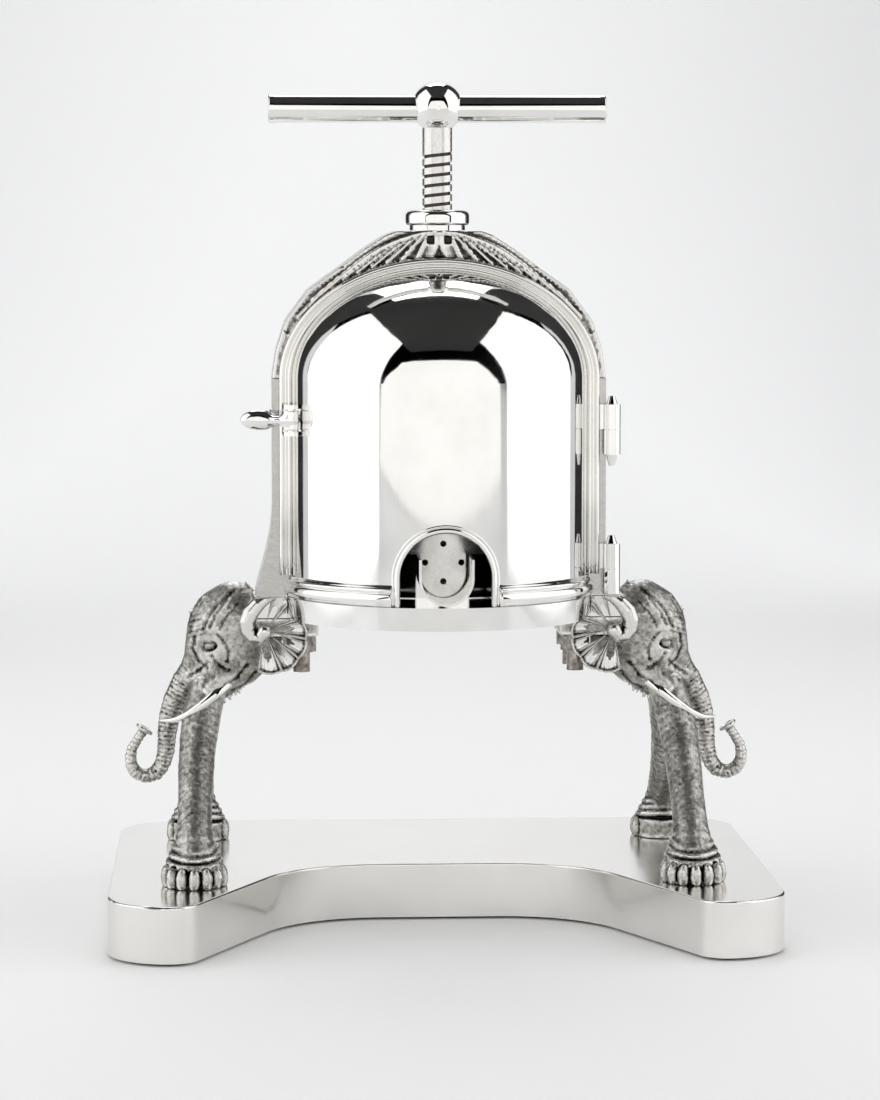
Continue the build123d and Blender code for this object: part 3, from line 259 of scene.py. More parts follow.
def node(tree, kind, **values):
    made = tree.nodes.new(kind)
    for key, value in values.items():
        if key in made.inputs:
            made.inputs[key].default_value = value
        else:
            setattr(made, key.lower(), value)
    return made


def noise(tree, scale, detail=3.0, stretch=None):
    """A noise value over the press's own coordinates, `scale` cycles to the metre."""
    coords = tree.nodes.new("ShaderNodeTexCoord")
    source = coords.outputs["Object"]
    if stretch:
        mapping = tree.nodes.new("ShaderNodeMapping")
        mapping.inputs["Scale"].default_value = stretch
        tree.links.new(source, mapping.inputs["Vector"])
        source = mapping.outputs["Vector"]
    made = node(tree, "ShaderNodeTexNoise", Scale=scale, Detail=detail)
    tree.links.new(source, made.inputs["Vector"])
    return made.outputs["Fac"]


def spread(tree, value, low, high, start=0.3, end=0.7):
    """Map a value between start and end to low … high."""
    made = tree.nodes.new("ShaderNodeMapRange")
    made.inputs["From Min"].default_value = start
    made.inputs["From Max"].default_value = end
    made.inputs["To Min"].default_value = low
    made.inputs["To Max"].default_value = high
    tree.links.new(value, made.inputs["Value"])
    return made.outputs["Result"]


def ramp(tree, value, stops):
    made = tree.nodes.new("ShaderNodeValToRGB")
    ends = made.color_ramp.elements
    ends[0].position, ends[0].color = stops[0][0], (*stops[0][1], 1)
    ends[1].position, ends[1].color = stops[-1][0], (*stops[-1][1], 1)
    for place, colour in stops[1:-1]:
        ends.new(place).color = (*colour, 1)
    tree.links.new(value, made.inputs["Fac"])
    return made.outputs["Color"]


def relief(tree, bsdf, value, height, before=None):
    """Bump of `height` metres from a value, on top of an earlier bump."""
    made = tree.nodes.new("ShaderNodeBump")
    made.inputs["Distance"].default_value = height
    tree.links.new(value, made.inputs["Height"])
    if before is not None:
        tree.links.new(before, made.inputs["Normal"])
    tree.links.new(made.outputs["Normal"], bsdf.inputs["Normal"])
    return made.outputs["Normal"]


def polished(tree, bsdf):
    """Plate rubbed bright for a century: fine scratches, faint dents, handling haze."""
    smear = noise(tree, 34, 4)
    tree.links.new(spread(tree, smear, 0.035, 0.085, 0.35, 0.75), bsdf.inputs["Roughness"])
    tree.links.new(ramp(tree, smear, [(0.25, (0.80, 0.795, 0.775)), (0.75, (0.88, 0.875, 0.86))]),
                   bsdf.inputs["Base Color"])
    dents = relief(tree, bsdf, noise(tree, 11, 1), 0.00035)
    relief(tree, bsdf, noise(tree, 900, 2, (1, 1, 0.12)), 0.0000025, dents)


def oxidised(tree, bsdf):
    """Chased casting: rubbed bright on what stands proud, black in the hollows."""
    cavity = node(tree, "ShaderNodeAttribute", attribute_name="cavity")
    grain = noise(tree, 420, 5)
    patch = noise(tree, 60, 4)
    mixed = node(tree, "ShaderNodeMath", operation="MULTIPLY_ADD")
    mixed.inputs[1].default_value = 0.32
    tree.links.new(grain, mixed.inputs[0])
    lift = node(tree, "ShaderNodeMath", operation="SUBTRACT")
    tree.links.new(mixed.outputs[0], lift.inputs[0])
    tree.links.new(spread(tree, cavity.outputs["Fac"], -0.3, 0.4, -0.7, 0.7), lift.inputs[1])
    tree.links.new(spread(tree, patch, 0.06, 0.22), mixed.inputs[2])
    wear = lift.outputs[0]
    tree.links.new(ramp(tree, wear, [(0.0, (0.02, 0.018, 0.016)), (0.2, (0.24, 0.23, 0.21)),
                                     (0.42, (0.58, 0.57, 0.54)), (0.75, (0.86, 0.85, 0.82))]),
                   bsdf.inputs["Base Color"])
    tree.links.new(spread(tree, wear, 0.5, 0.2, 0.1, 0.65), bsdf.inputs["Roughness"])
    pits = relief(tree, bsdf, noise(tree, 1100, 3), 0.00022)
    relief(tree, bsdf, noise(tree, 380, 3), 0.00045, pits)


def rubbed(tree, bsdf):
    """Plated ornament: bright, with painted shade darkening the hollows."""
    cavity = node(tree, "ShaderNodeAttribute", attribute_name="cavity")
    # the hollows are darkened from the cavity map as painted shade
    hollow = spread(tree, cavity.outputs["Fac"], 0.95, 0.0, -0.12, 0.3)
    tree.links.new(ramp(tree, hollow, [(0.0, (0.03, 0.027, 0.024)), (0.5, (0.34, 0.33, 0.31)),
                                       (0.9, (0.74, 0.73, 0.71))]), bsdf.inputs["Base Color"])
    tree.links.new(spread(tree, noise(tree, 120, 3), 0.16, 0.30), bsdf.inputs["Roughness"])
    relief(tree, bsdf, noise(tree, 260, 3), 0.00018)


def satin(tree, bsdf):
    """Plain working surfaces, turned or rubbed with fine grit."""
    tree.links.new(spread(tree, noise(tree, 90, 4), 0.20, 0.34), bsdf.inputs["Roughness"])
    shades = [(0.3, (0.60, 0.59, 0.56)), (0.7, (0.78, 0.775, 0.76))]
    tree.links.new(ramp(tree, noise(tree, 26, 4), shades), bsdf.inputs["Base Color"])
    relief(tree, bsdf, noise(tree, 1400, 2, (0.06, 0.06, 1)), 0.00001)


def brushed_plate(tree, bsdf):
    """The base: rubbed plate, softer than the door, with wiping marks."""
    smear = noise(tree, 20, 4)
    tree.links.new(spread(tree, smear, 0.13, 0.24, 0.35, 0.7), bsdf.inputs["Roughness"])
    tree.links.new(ramp(tree, smear, [(0.3, (0.83, 0.815, 0.785)), (0.7, (0.90, 0.89, 0.87))]),
                   bsdf.inputs["Base Color"])
    dents = relief(tree, bsdf, noise(tree, 14, 2), 0.0004)
    relief(tree, bsdf, noise(tree, 700, 2, (1, 1, 0.1)), 0.000004, dents)


def threaded(tree, bsdf):
    """Turned screw: bright crests, with painted shade darkening the grooves."""
    coords = tree.nodes.new("ShaderNodeTexCoord")
    flat = node(tree, "ShaderNodeVectorMath", operation="MULTIPLY")
    flat.inputs[1].default_value = (1, 1, 0)
    tree.links.new(coords.outputs["Object"], flat.inputs[0])
    size = node(tree, "ShaderNodeVectorMath", operation="LENGTH")
    tree.links.new(flat.outputs["Vector"], size.inputs[0])
    # the grooves inside this radius are darkened as painted shade
    depth = spread(tree, size.outputs["Value"], 0, 1, 0.0094, 0.0106)
    tree.links.new(ramp(tree, depth, [(0.05, (0.06, 0.05, 0.045)), (0.6, (0.42, 0.40, 0.37)),
                                      (0.95, (0.74, 0.73, 0.71))]), bsdf.inputs["Base Color"])
    tree.links.new(spread(tree, noise(tree, 300, 4), 0.18, 0.36), bsdf.inputs["Roughness"])
    relief(tree, bsdf, noise(tree, 700, 3), 0.00003)


def worn_steel(tree, bsdf):
    """Old bright steel with brown staining."""
    stain = noise(tree, 210, 5)
    tree.links.new(ramp(tree, stain, [(0.3, (0.10, 0.075, 0.055)), (0.55, (0.34, 0.31, 0.28)),
                                      (0.75, (0.52, 0.50, 0.47))]), bsdf.inputs["Base Color"])
    tree.links.new(spread(tree, stain, 0.45, 0.22), bsdf.inputs["Roughness"])
    relief(tree, bsdf, noise(tree, 1100, 2), 0.00006)


def felted(tree, bsdf):
    fibre = noise(tree, 2600, 4)
    tree.links.new(ramp(tree, fibre, [(0.3, (0.012, 0.035, 0.018)), (0.7, (0.03, 0.085, 0.045))]),
                   bsdf.inputs["Base Color"])
    relief(tree, bsdf, fibre, 0.0006)


SILVER = shader("polished_silver_plate", (0.85, 0.845, 0.83), 1.0, 0.06, polished)
OXIDISED = shader("oxidised_silver", (0.3, 0.29, 0.27), 1.0, 0.45, oxidised)
SHADED_ORNAMENT = shader("ornament_silver_painted_shade", (0.7, 0.69, 0.67), 1.0, 0.16, rubbed)
SATIN = shader("satin_silver_plate", (0.7, 0.69, 0.67), 1.0, 0.27, satin)
BASE_PLATE = shader("rubbed_base_plate", (0.86, 0.85, 0.83), 1.0, 0.18, brushed_plate)
THREAD = shader("turned_screw", (0.6, 0.58, 0.55), 1.0, 0.25, threaded)
STEEL = shader("stained_steel", (0.4, 0.37, 0.34), 1.0, 0.3, worn_steel)
FELT = shader("green_baize", (0.02, 0.06, 0.03), 0.0, 0.95, felted)


def paint(obj, material):
    if obj.data.materials:
        for index in range(len(obj.data.materials)):
            obj.data.materials[index] = material
    else:
        obj.data.materials.append(material)


def stand_in(obj, material, node_name, body=None):
    """Finish a sculpted piece: its material, the CAD node it replaces, what it rides on."""
    paint(obj, material)
    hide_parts(node_name)
    if body:
        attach(obj, body)


# ---------------------------------------------------------------- camera, floor and light
def add_camera():
    data = bpy.data.cameras.new("photo_camera")
    camera = bpy.data.objects.new("photo_camera", data)
    bpy.context.scene.collection.objects.link(camera)
    data.lens = 119.0
    data.sensor_width = 36.0
    data.clip_end = 30
    data.dof.use_dof = False
    turn, distance = math.radians(3), 2.603
    camera.location = (-distance * math.sin(turn), -distance * math.cos(turn), 0.5025)
    aim = Vector((0.002, 0, 0.2655))
    camera.rotation_euler = (aim - camera.location).to_track_quat("-Z", "Y").to_euler()
    bpy.context.scene.camera = camera


def add_floor():
    """A pale sheet that sweeps up into a backdrop well behind the press."""
    start, radius = 2.2, 1.2
    profile = [(-6.0, 0.0), (start, 0.0)]
    for step in range(1, 13):
        angle = math.pi / 2 * step / 12
        profile.append((start + radius * math.sin(angle), radius - radius * math.cos(angle)))
    profile.append((start + radius, 5.0))
    verts = [(x * 1000, y * 1000, z * 1000) for y, z in profile for x in (-6, 6)]
    floor = make_mesh("floor", verts, grid_faces(len(profile), 2))
    paint(floor, shader("paper_floor", (0.93, 0.93, 0.93), 0.0, 0.62))


def add_board(name, corners, glow=0.0, grey=0.02, tint=(1, 1, 1)):
    """A flat board beside the set, in metres: a lit white one, or a black flag."""
    board = make_mesh(name, np.array(corners) * 1000, [(0, 1, 2, 3)])
    mat = shader(name + "_board", (grey, grey, grey), 0.0, 0.9)
    bsdf = next(n for n in mat.node_tree.nodes if n.type == "BSDF_PRINCIPLED")
    bsdf.inputs["Emission Color"].default_value = (*tint, 1)
    bsdf.inputs["Emission Strength"].default_value = glow
    paint(board, mat)
    board.visible_camera = False


def add_lamp(name, place, size, power, aim):
    """A wide lamp that lights the paper but doesn't show in the silver."""
    data = bpy.data.lights.new(name, "AREA")
    data.shape = "RECTANGLE"
    data.size, data.size_y = size
    data.energy = power
    lamp = bpy.data.objects.new(name, data)
    bpy.context.scene.collection.objects.link(lamp)
    lamp.location = place
    lamp.rotation_euler = (Vector(aim) - Vector(place)).to_track_quat("-Z", "Y").to_euler()
    lamp.visible_glossy = False


def add_studio():
    world = bpy.data.worlds.new("studio")
    bpy.context.scene.world = world
    world.use_nodes = True
    world.node_tree.nodes["Background"].inputs["Color"].default_value = (0.97, 0.98, 1.0, 1)
    world.node_tree.nodes["Background"].inputs["Strength"].default_value = 0.88
    world.cycles_visibility.glossy = False
    warm = (1.0, 0.985, 0.95)
    pale = 0.5
    add_board("wall_front", [(-3.5, -3.3, 0.02), (3.3, -3.3, 0.02), (1.75, -3.3, 2.2),
                             (-2.0, -3.3, 2.2)], 0.74, pale, warm)
    add_board("wall_left", [(-2.0, 1.0, 0.02), (-2.0, -1.85, 0.02), (-1.8, -2.4, 4.2),
                            (-1.8, 1.0, 4.2)], 0.86, pale)
    add_board("wall_right", [(2.0, 0.9, 0.02), (2.0, -1.7, 0.02), (1.8, -2.3, 4.0),
                             (1.8, 0.9, 4.0)], 0.86, pale)
    add_board("sky_strip", [(-0.75, 0.9, 2.9), (0.75, 0.9, 2.9), (0.75, 1.75, 2.2),
                            (-0.75, 1.75, 2.2)], 2.2, pale)
    add_board("flag_left", [(-1.7, 1.15, 0.0), (-0.95, 2.1, 0.0), (-0.95, 2.1, 3.5), (-1.7, 1.15, 3.5)])
    add_board("flag_right", [(1.7, 1.05, 0.0), (0.95, 2.1, 0.0), (0.95, 2.1, 3.5), (1.7, 1.05, 3.5)])
    add_board("flag_top", [(-1.6, -3.2, 3.2), (1.6, -3.2, 3.2), (1.6, 1.1, 3.2), (-1.6, 1.1, 3.2)])
    add_lamp("paper_lamp", (0, -0.6, 3.0), (3.2, 3.2), 14, (0, 0, 0))
    add_lamp("backdrop_lamp", (0, 0.4, 2.6), (3.0, 0.8), 18, (0, 3.2, 0.9))


bpy.context.scene.view_settings.view_transform = "Standard"
add_camera()
add_floor()
add_studio()


# ---------------------------------------------------------------- elephant heads
def engrave(clay, points, depth, width):
    """Cut a line drawn in the side view into the surface."""
    clay.d = clay.d + depth * np.exp(-(clay.line_distance(points) / width) ** 2)


def skin(clay, amount, seed, size=5):
    """Uneven hammered hide: smooth noise added to the distance."""
    local = np.random.default_rng(seed)
    for scale, share in ((size, 0.5), (2, 0.35), (1, 0.3)):
        shape = [max(2, s // scale + 2) for s in clay.d.shape]
        rough = local.standard_normal(shape).astype(np.float32)
        for axis in range(3):
            rough = (rough + np.roll(rough, 1, axis)) * 0.7
            old = np.arange(clay.d.shape[axis]) / scale
            base = old.astype(int)
            part = (old - base).reshape([-1 if k == axis else 1 for k in range(3)])
            part = part.astype(np.float32)
            rough = np.take(rough, base, axis) * (1 - part) + np.take(rough, base + 1, axis) * part
        clay.d += amount * share * rough


def grid_step(fine):
    return fine


def sculpt_head():
    """The head, neck, flange and trunk of one side, outward along +x."""
    clay = Clay((84, -34, 94), (228, 34, 244), grid_step(0.95))
    add, limb, ball = clay.add, clay.limb, clay.ball
    add(ball((150, 0, 206), (27, 26, 33)))
    add(ball((160, 0, 209), (17.5, 19, 26)), 6)
    add(ball((146, 0, 214), (20, 22, 29)), 6)
    add(limb((124, 0, 207), (140, 0, 215), 21, 23)[0], 6)
    add(limb((120, 0, 196), (140, 0, 190), 13, 19)[0], 8)
    add(limb((146, 0, 184), (160, 0, 166), 17, 10)[0], 7)
    add(limb((162, 0, 206), (169, 0, 188), 16.5, 12)[0], 7)
    for y in (-1, 1):
        add(ball((154, 16 * y, 186), (17, 10.5, 17)), 6)
        add(limb((171, 12.5 * y, 212), (157, 20 * y, 210), 3.6, 4.2)[0], 3.5)
        add(limb((152, 22 * y, 178), (163, 25.5 * y, 168), 7.2, 6.0)[0], 4)
        add(limb((160, 19 * y, 180), (176, 9 * y, 176), 5.5, 6)[0], 4)
        clay.cut(ball((163.5, 21.8 * y, 199.5), (6.4, 3.0, 3.6)), 2.2)
        add(ball((163, 18.4 * y, 199.3), (4.6, 3.8, 3.3)))
        for z0, z1, z2 in ((201.5, 204.6, 202.5), (198.6, 195.4, 197)):
            add(limb((157.6, 21.4 * y, z0 - 1.4), (163.2, 21.2 * y, z1 - 1), 0.8, 1.2)[0], 1.2)
            add(limb((163.2, 21.2 * y, z1 - 1), (168, 17.8 * y, z2 - 1), 1.2, 0.7)[0], 1.2)
    trunk = [(166, 0, 200), (170, 0, 186), (181, 0, 172), (189, 0, 158), (193, 0, 146),
             (194.8, 0, 134), (195.5, 0, 122), (198, 0, 111.5), (203, 0, 105.2), (209.5, 0, 103),
             (215.6, 0, 104.8), (219.8, 0, 109.6), (221.2, 0, 116), (219.8, 0, 123),
             (216.2, 0, 129.4), (212.4, 0, 134.6)]
    radii = [12.8, 11.2, 9.8, 8.4, 7.5, 6.9, 6.3, 5.8, 5.4, 5.1, 4.9, 4.6, 4.2, 3.8, 3.4, 3.4]
    tube, along = clay.chain(trunk, radii)
    rings = np.abs(np.sin(along * (math.pi / 3.1))) ** 0.7
    fade = np.clip((along - 4) / 30, 0.25, 1)
    add(tube + (0.75 - 0.9 * rings) * fade, 5)
    add(clay.disc((210.6, 0, 137.2), (-0.54, 0, 0.842), 5.4, 1.5), 1.2)
    clay.cut(ball((209.6, 0, 139.6), (3.6, 3.6, 3.6)), 0.6)
    middle, half = (TABLE_UNDER + FLANGE_UNDER) / 2, (TABLE_UNDER - FLANGE_UNDER) / 2
    flange = np.maximum(np.abs(clay.x - 110) - 24, np.abs(clay.z - middle) - half)
    flange = np.maximum(flange, np.abs(clay.y) - HEAD_HALF)
    add(flange, 2)
    # furrows and folds
    engrave(clay, [(146, 238), (157, 229), (164, 220), (168, 211)], 0.85, 1.2)
    engrave(clay, [(151, 232), (159, 222), (163, 213)], 0.75, 1.1)
    engrave(clay, [(143, 230), (151, 221), (156, 212)], 0.75, 1.1)
    engrave(clay, [(158, 208), (153, 203), (150, 196), (151, 189)], 0.9, 1.3)
    engrave(clay, [(174, 205), (176, 197), (172, 189), (165, 184)], 0.9, 1.3)
    engrave(clay, [(162, 193), (158, 187), (150, 183)], 0.85, 1.2)
    engrave(clay, [(165, 188), (172, 181), (180, 176)], 0.9, 1.3)
    engrave(clay, [(152, 172), (144, 177), (137, 186)], 0.95, 1.3)
    engrave(clay, [(147, 166), (139, 170), (131, 180)], 0.85, 1.2)
    engrave(clay, [(160, 166), (166, 170), (172, 176)], 0.7, 1.0)
    for k in range(5):
        engrave(clay, [(170 - k, 222 - 3.4 * k), (178, 219 - 3.6 * k)], 0.5, 0.5)
    # bristles along the crest and under the chin
    crest = np.array([(134, 242), (142, 243.6), (150, 241.6), (158, 238), (167, 232), (174.5, 222)])
    for t in np.linspace(0, 1, 46):
        at = t * (len(crest) - 1)
        i = min(int(at), len(crest) - 2)
        x, z = crest[i] + (crest[i + 1] - crest[i]) * (at - i)
        y = rng.uniform(-7, 7)
        dz = -0.06 * y * y - 2.0
        lean = rng.uniform(-2.2, 2.6)
        tip = (x + lean + 1.5, y * 1.12, min(z + dz + rng.uniform(1.6, 3.4), 243.6))
        add(limb((x, y, z + dz - 4), tip, 1.7, 0.7)[0], 0.7)
    for t in np.linspace(0, 1, 12):
        x = 141 + 17 * t + rng.uniform(-1, 1)
        y = rng.uniform(-6, 6)
        z = 166 - 13 * t
        add(limb((x, y, z + 5), (x - 1.5, y, z + rng.uniform(-1.5, 1)), 1.6, 0.8)[0], 0.8)
    skin(clay, 0.24, 11)
    # seat against the table and the door's ring, and the flat nape
    clay.cut(np.maximum(clay.x - SEAT_END, TABLE_UNDER - 0.4 - clay.z))
    clay.cut(TABLE_TOP + 7.8 - clay.z)
    clay.cut(HEAD_HALF - np.abs(clay.y) + FAR * (clay.x > SEAT_END + 1.5))
    for y in (-17.5, 17.5):
        hole = np.sqrt((clay.x - 98) ** 2 + (clay.y - y) ** 2) - 6.2
        clay.cut(np.maximum(hole, clay.z - 230))
    clay.cut(np.maximum(clay.z - FLANGE_UNDER, clay.x - 112))
    verts, quads = clay.surface()
    return verts, quads, clay.cavity(verts)


head_verts, head_quads, head_cavity = sculpt_head()
for side_name, side in SIDES.items():
    verts, quads = mirrored(head_verts, head_quads, side)
    head = make_mesh(f"elephant_{side_name}", verts, quads, head_cavity)
    stand_in(head, OXIDISED, f"elephant_head_{side_name}", "frame")


# ---------------------------------------------------------------- ears and legs
LOBES = [78, 50, 20, -10, -38, -66, -100]   # angles where one lobe meets the next
EAR_CENTRE = (124.5, 210.8)
# (angle, reach) of the fan's edge
EAR_RADII = [(-110, 28.5), (-82, 31), (-62, 32.6), (-43, 32.4), (-8, 31.4), (18, 28), (40, 30),
             (80, 29)]


def sculpt_ear():
    """A scalloped fan round a rolled volute, on the front face of one head."""
    clay = Clay((88, -42, 176), (146, -26.5, 240), grid_step(0.5))
    cx, cz = EAR_CENTRE
    inward = cx - clay.x
    up = clay.z - cz
    radius = np.sqrt(inward ** 2 + up ** 2) + 1e-3
    angle = np.degrees(np.arctan2(up, inward))
    edge = np.interp(angle, *zip(*EAR_RADII)).astype(np.float32)
    # each lobe is a hollow between two ribs, and its rim a shallow arc
    phase = np.zeros_like(angle)
    for top, bottom in zip(LOBES, LOBES[1:]):
        inside = (angle <= top) & (angle > bottom)
        phase = np.where(inside, (top - angle) / (top - bottom), phase)
    bend = np.sin(np.pi * phase)
    edge = edge * (0.955 + 0.06 * np.sqrt(np.clip(bend, 0, 1)))
    rim = np.exp(-((radius - edge + 1.0) / 0.9) ** 2)
    rib = np.exp(-(np.minimum(phase, 1 - phase) * 11) ** 2)
    cup = 1.2 + 3.4 * np.clip(radius / edge, 0, 1.1) ** 2
    stria = 0.13 * np.cos(phase * 2 * np.pi * 5) * np.clip(radius / 14 - 0.4, 0, 1)
    height = cup - 2.3 * bend + 1.3 * rib + 1.5 * rim + stria
    above = radius * np.sin(np.radians(np.clip(angle - LOBES[0], -60, 60)))
    outside = np.maximum(radius - edge, above)
    below = radius * np.sin(np.radians(np.clip(LOBES[-1] - angle, -60, 60)))
    outside = np.where(angle < -30, np.maximum(radius - edge, below), outside)
    outside = np.where(np.abs(angle) > 130, radius - 9, outside)
    slab = np.maximum((-clay.y - HEAD_HALF - height) * 0.75, clay.y + HEAD_HALF)
    clay.add(np.maximum(slab, outside))
    spiral = [(0, 0), (3.4, -4.4), (8.2, -3.6), (11.6, 1.2), (12.0, 7.4), (9.6, 13.6), (5.0, 19),
              (-0.5, 23), (-6, 25)]
    sizes = [5.4, 4.6, 4.5, 5.0, 5.7, 5.9, 5.2, 4.0, 2.4]
    lift = [34.6, 33.4, 32.9, 33.0, 33.2, 33.2, 33.0, 32.6, 32.0]
    points = [(cx + a, -y, cz + b) for (a, b), y in zip(spiral, lift)]
    horn = clay.chain(points, sizes)[0]
    groove = np.exp(-((radius - 6.6) / 0.8) ** 2) * (np.abs(angle) < 150)
    clay.d += 0.8 * groove
    clay.add(horn, 0.35)
    # flat against the head, and clear of the table and of what stands on it
    clay.cut(-HEAD_HALF - clay.y)
    disc = np.sqrt(clay.x ** 2 + (clay.y + BELL_AXIS) ** 2) - (BELL_RADIUS + 2.6)
    clay.cut(np.maximum(disc, TABLE_UNDER - 0.6 - clay.z))
    clay.cut(TABLE_TOP - 0.7 - clay.z + FAR * (clay.x > SEAT_END + 0.5))
    verts, quads = clay.surface()
    return verts, quads, clay.cavity(verts)


FOOT_CENTRE = (174, -96)
TOES = 9
TOE_PITCH = 26          # degrees from one toe to the next


def sculpt_leg():
    """The front leg of one head: rolls at the ankle and a ring of round toes."""
    clay = Clay((144, -127, 40), (206, 4, 178), grid_step(0.9))
    bones = [(174, -93, 60), (174.4, -90, 67), (174.2, -84, 76), (174, -75, 86), (173.6, -60, 101),
             (173, -46, 117), (171.6, -32, 134), (169, -20, 152), (164, -12, 170)]
    radii = [15.5, 13.6, 12.2, 11.8, 12.0, 12.6, 13.2, 13.6, 13]
    leg, along = clay.chain(bones, radii)
    clay.add(leg)
    fx, fy = FOOT_CENTRE
    flat = np.sqrt(((clay.x - fx) / 20.5) ** 2 + ((clay.y - fy) / 21.5) ** 2)
    foot = np.maximum((flat - 1) * 20.5, np.abs(clay.z - 47.5) - 7.5)
    clay.add(foot, 3)
    for z, y, r, t in ((57.5, -94.5, 17.6, 2.4), (62.5, -93, 15.6, 2.3), (67.5, -90.5, 13.4, 2.2),
                       (73, -87, 11.6, 2.0)):
        clay.add(clay.disc((fx, y, z), (0, -0.16, 0.987), r, t), 1.0)
    for k in range(TOES):
        a = math.radians(TOE_PITCH * (k - (TOES - 1) / 2))
        px, py = fx + 19.3 * math.sin(a), fy - 20.4 * math.cos(a)
        toe = clay.ball((px, py, 47.4), (4.3, 4.3, 8.4))
        clay.cut(clay.ball((px, py, 47.4), (5.5, 5.5, 9.6)), 0.4)
        clay.add(toe, 0.3)
    folds = np.sin(along * 1.05 + 1.4 * np.sin(clay.x * 0.28) + 0.9 * np.sin(clay.y * 0.35))
    clay.d += 0.08 * folds * (clay.z > 78)
    skin(clay, 0.28, 23, 6)
    clay.cut(clay.z - 41.05)
    verts, quads = clay.surface()
    return verts, quads, clay.cavity(verts)


def tusk_mesh():
    """A polished curved horn out of the cheek, past the trunk."""
    path = [(152, -23, 172), (160, -29, 165.5), (169, -32, 158.5), (179, -31.5, 151.5),
            (189, -26.5, 147), (199, -18.5, 146)]
    sizes = [4.3, 4.2, 3.6, 2.9, 2.0, 0.9]
    clay = Clay((144, -40, 138), (206, -12, 180), grid_step(0.5))
    smooth = np.linspace(0, len(path) - 1, 26)
    points = [[np.interp(t, range(len(path)), [p[k] for p in path]) for k in range(3)] for t in smooth]
    points = np.array(points)
    for _ in range(3):
        points[1:-1] = (points[:-2] + 2 * points[1:-1] + points[2:]) / 4
    girth = np.interp(smooth, range(len(path)), sizes)
    clay.add(clay.chain([tuple(p) for p in points], list(girth))[0])
    return clay.surface()


ear = sculpt_ear()
leg = sculpt_leg()
tusk = tusk_mesh()
for side_name, side in SIDES.items():
    for face_name, face in FACES.items():
        corner = f"{face_name}_{side_name}"
        verts, quads = mirrored(ear[0], ear[1], side, face)
        stand_in(make_mesh(f"fan_ear_{corner}", verts, quads, ear[2]), SHADED_ORNAMENT, f"ear_{corner}", "frame")
        verts, quads = mirrored(leg[0], leg[1], side, face)
        stand_in(make_mesh(f"elephant_leg_{corner}", verts, quads, leg[2]), OXIDISED,
                 f"leg_{corner}", "frame")
        verts, quads = mirrored(tusk[0], tusk[1], side, face)
        stand_in(make_mesh(f"ivory_{corner}", verts, quads), SILVER, f"tusk_{corner}", "frame")


# ---------------------------------------------------------------- crown and rims
def ellipse_arch(half, spring, rise, feet, count=160):
    """Points of a round-headed arch, from the foot at -x over to the foot at +x."""
    turn = np.linspace(np.pi, 0, count)
    top = np.stack([half * np.cos(turn), spring + rise * np.sin(turn)], 1)
    legs = np.linspace(feet, spring, 12)[:-1]
    left = np.stack([np.full(len(legs), -half), legs], 1)
    right = left[::-1] * [-1, 1]
    return np.concatenate([left, top, right])


def sealed(obj):
    """Close the open ends of a swept mesh and turn its faces outwards."""
    work = bmesh.new()
    work.from_mesh(obj.data)
    bmesh.ops.holes_fill(work, edges=[e for e in work.edges if e.is_boundary], sides=0)
    bmesh.ops.recalc_face_normals(work, faces=work.faces)
    work.to_mesh(obj.data)
    work.free()
    return obj


def moulded_rim(name, profile, half, spring, rise, feet, face):
    """A moulding of the given profile (inset, forward) swept round an arch."""
    path = ellipse_arch(half, spring, rise, feet)
    along = np.gradient(path, axis=0)
    along /= np.linalg.norm(along, axis=1)[:, None]
    inward = np.stack([along[:, 1], -along[:, 0]], 1)
    profile = np.array(profile)
    verts = np.zeros((len(path), len(profile), 3))
    verts[:, :, 0] = path[:, None, 0] + inward[:, None, 0] * profile[None, :, 0]
    verts[:, :, 2] = path[:, None, 1] + inward[:, None, 1] * profile[None, :, 0]
    verts[:, :, 1] = face * profile[None, :, 1]
    faces = grid_faces(len(path), len(profile), close_columns=True)
    if face < 0:
        faces = faces[:, ::-1]
    return sealed(make_mesh(name, verts.reshape(-1, 3), faces))


def bead(start, end, base, top, count=9):
    """Half-round bead of a moulding's profile between two insets."""
    turn = np.linspace(0, np.pi, count)
    middle, reach = (start + end) / 2, (end - start) / 2
    return [(middle - reach * math.cos(a), base + (top - base) * math.sin(a)) for a in turn]


RIM_PROFILE = ([(0, 30.05)] + bead(0.05, 3.5, 33.6, 36.9) + bead(3.9, 5.6, 34.4, 35.9, 7)
               + bead(5.9, 8.3, 34.2, 36.6, 8) + [(9.4, 34.4), (9.4, 30.05)])


def polygon_distance(x, z, points):
    """Signed distance in the plane to a closed polygon, negative inside."""
    best = np.full(np.broadcast(x, z).shape, 1e6, np.float32)
    inside = np.zeros(best.shape, bool)
    for (ax, az), (bx, bz) in zip(points, np.roll(points, -1, 0)):
        ux, uz = bx - ax, bz - az
        t = np.clip(((x - ax) * ux + (z - az) * uz) / max(ux * ux + uz * uz, 1e-9), 0, 1)
        best = np.minimum(best, (x - ax - t * ux) ** 2 + (z - az - t * uz) ** 2)
        crosses = (az > z) != (bz > z)
        at = ax + (z - az) * (ux / uz if uz else 0)
        inside ^= crosses & (x < at)
    return np.where(inside, -1, 1) * np.sqrt(best)


RIM_HALF, RIM_RISE = 113.7, 85.0            # outer edge of the rims
CROWN_HALF, CROWN_TOP = 118.5, 494.4
OPENING_HALF, OPENING_RISE = 104.0, 70.0    # the arch's opening
RIBS = 9


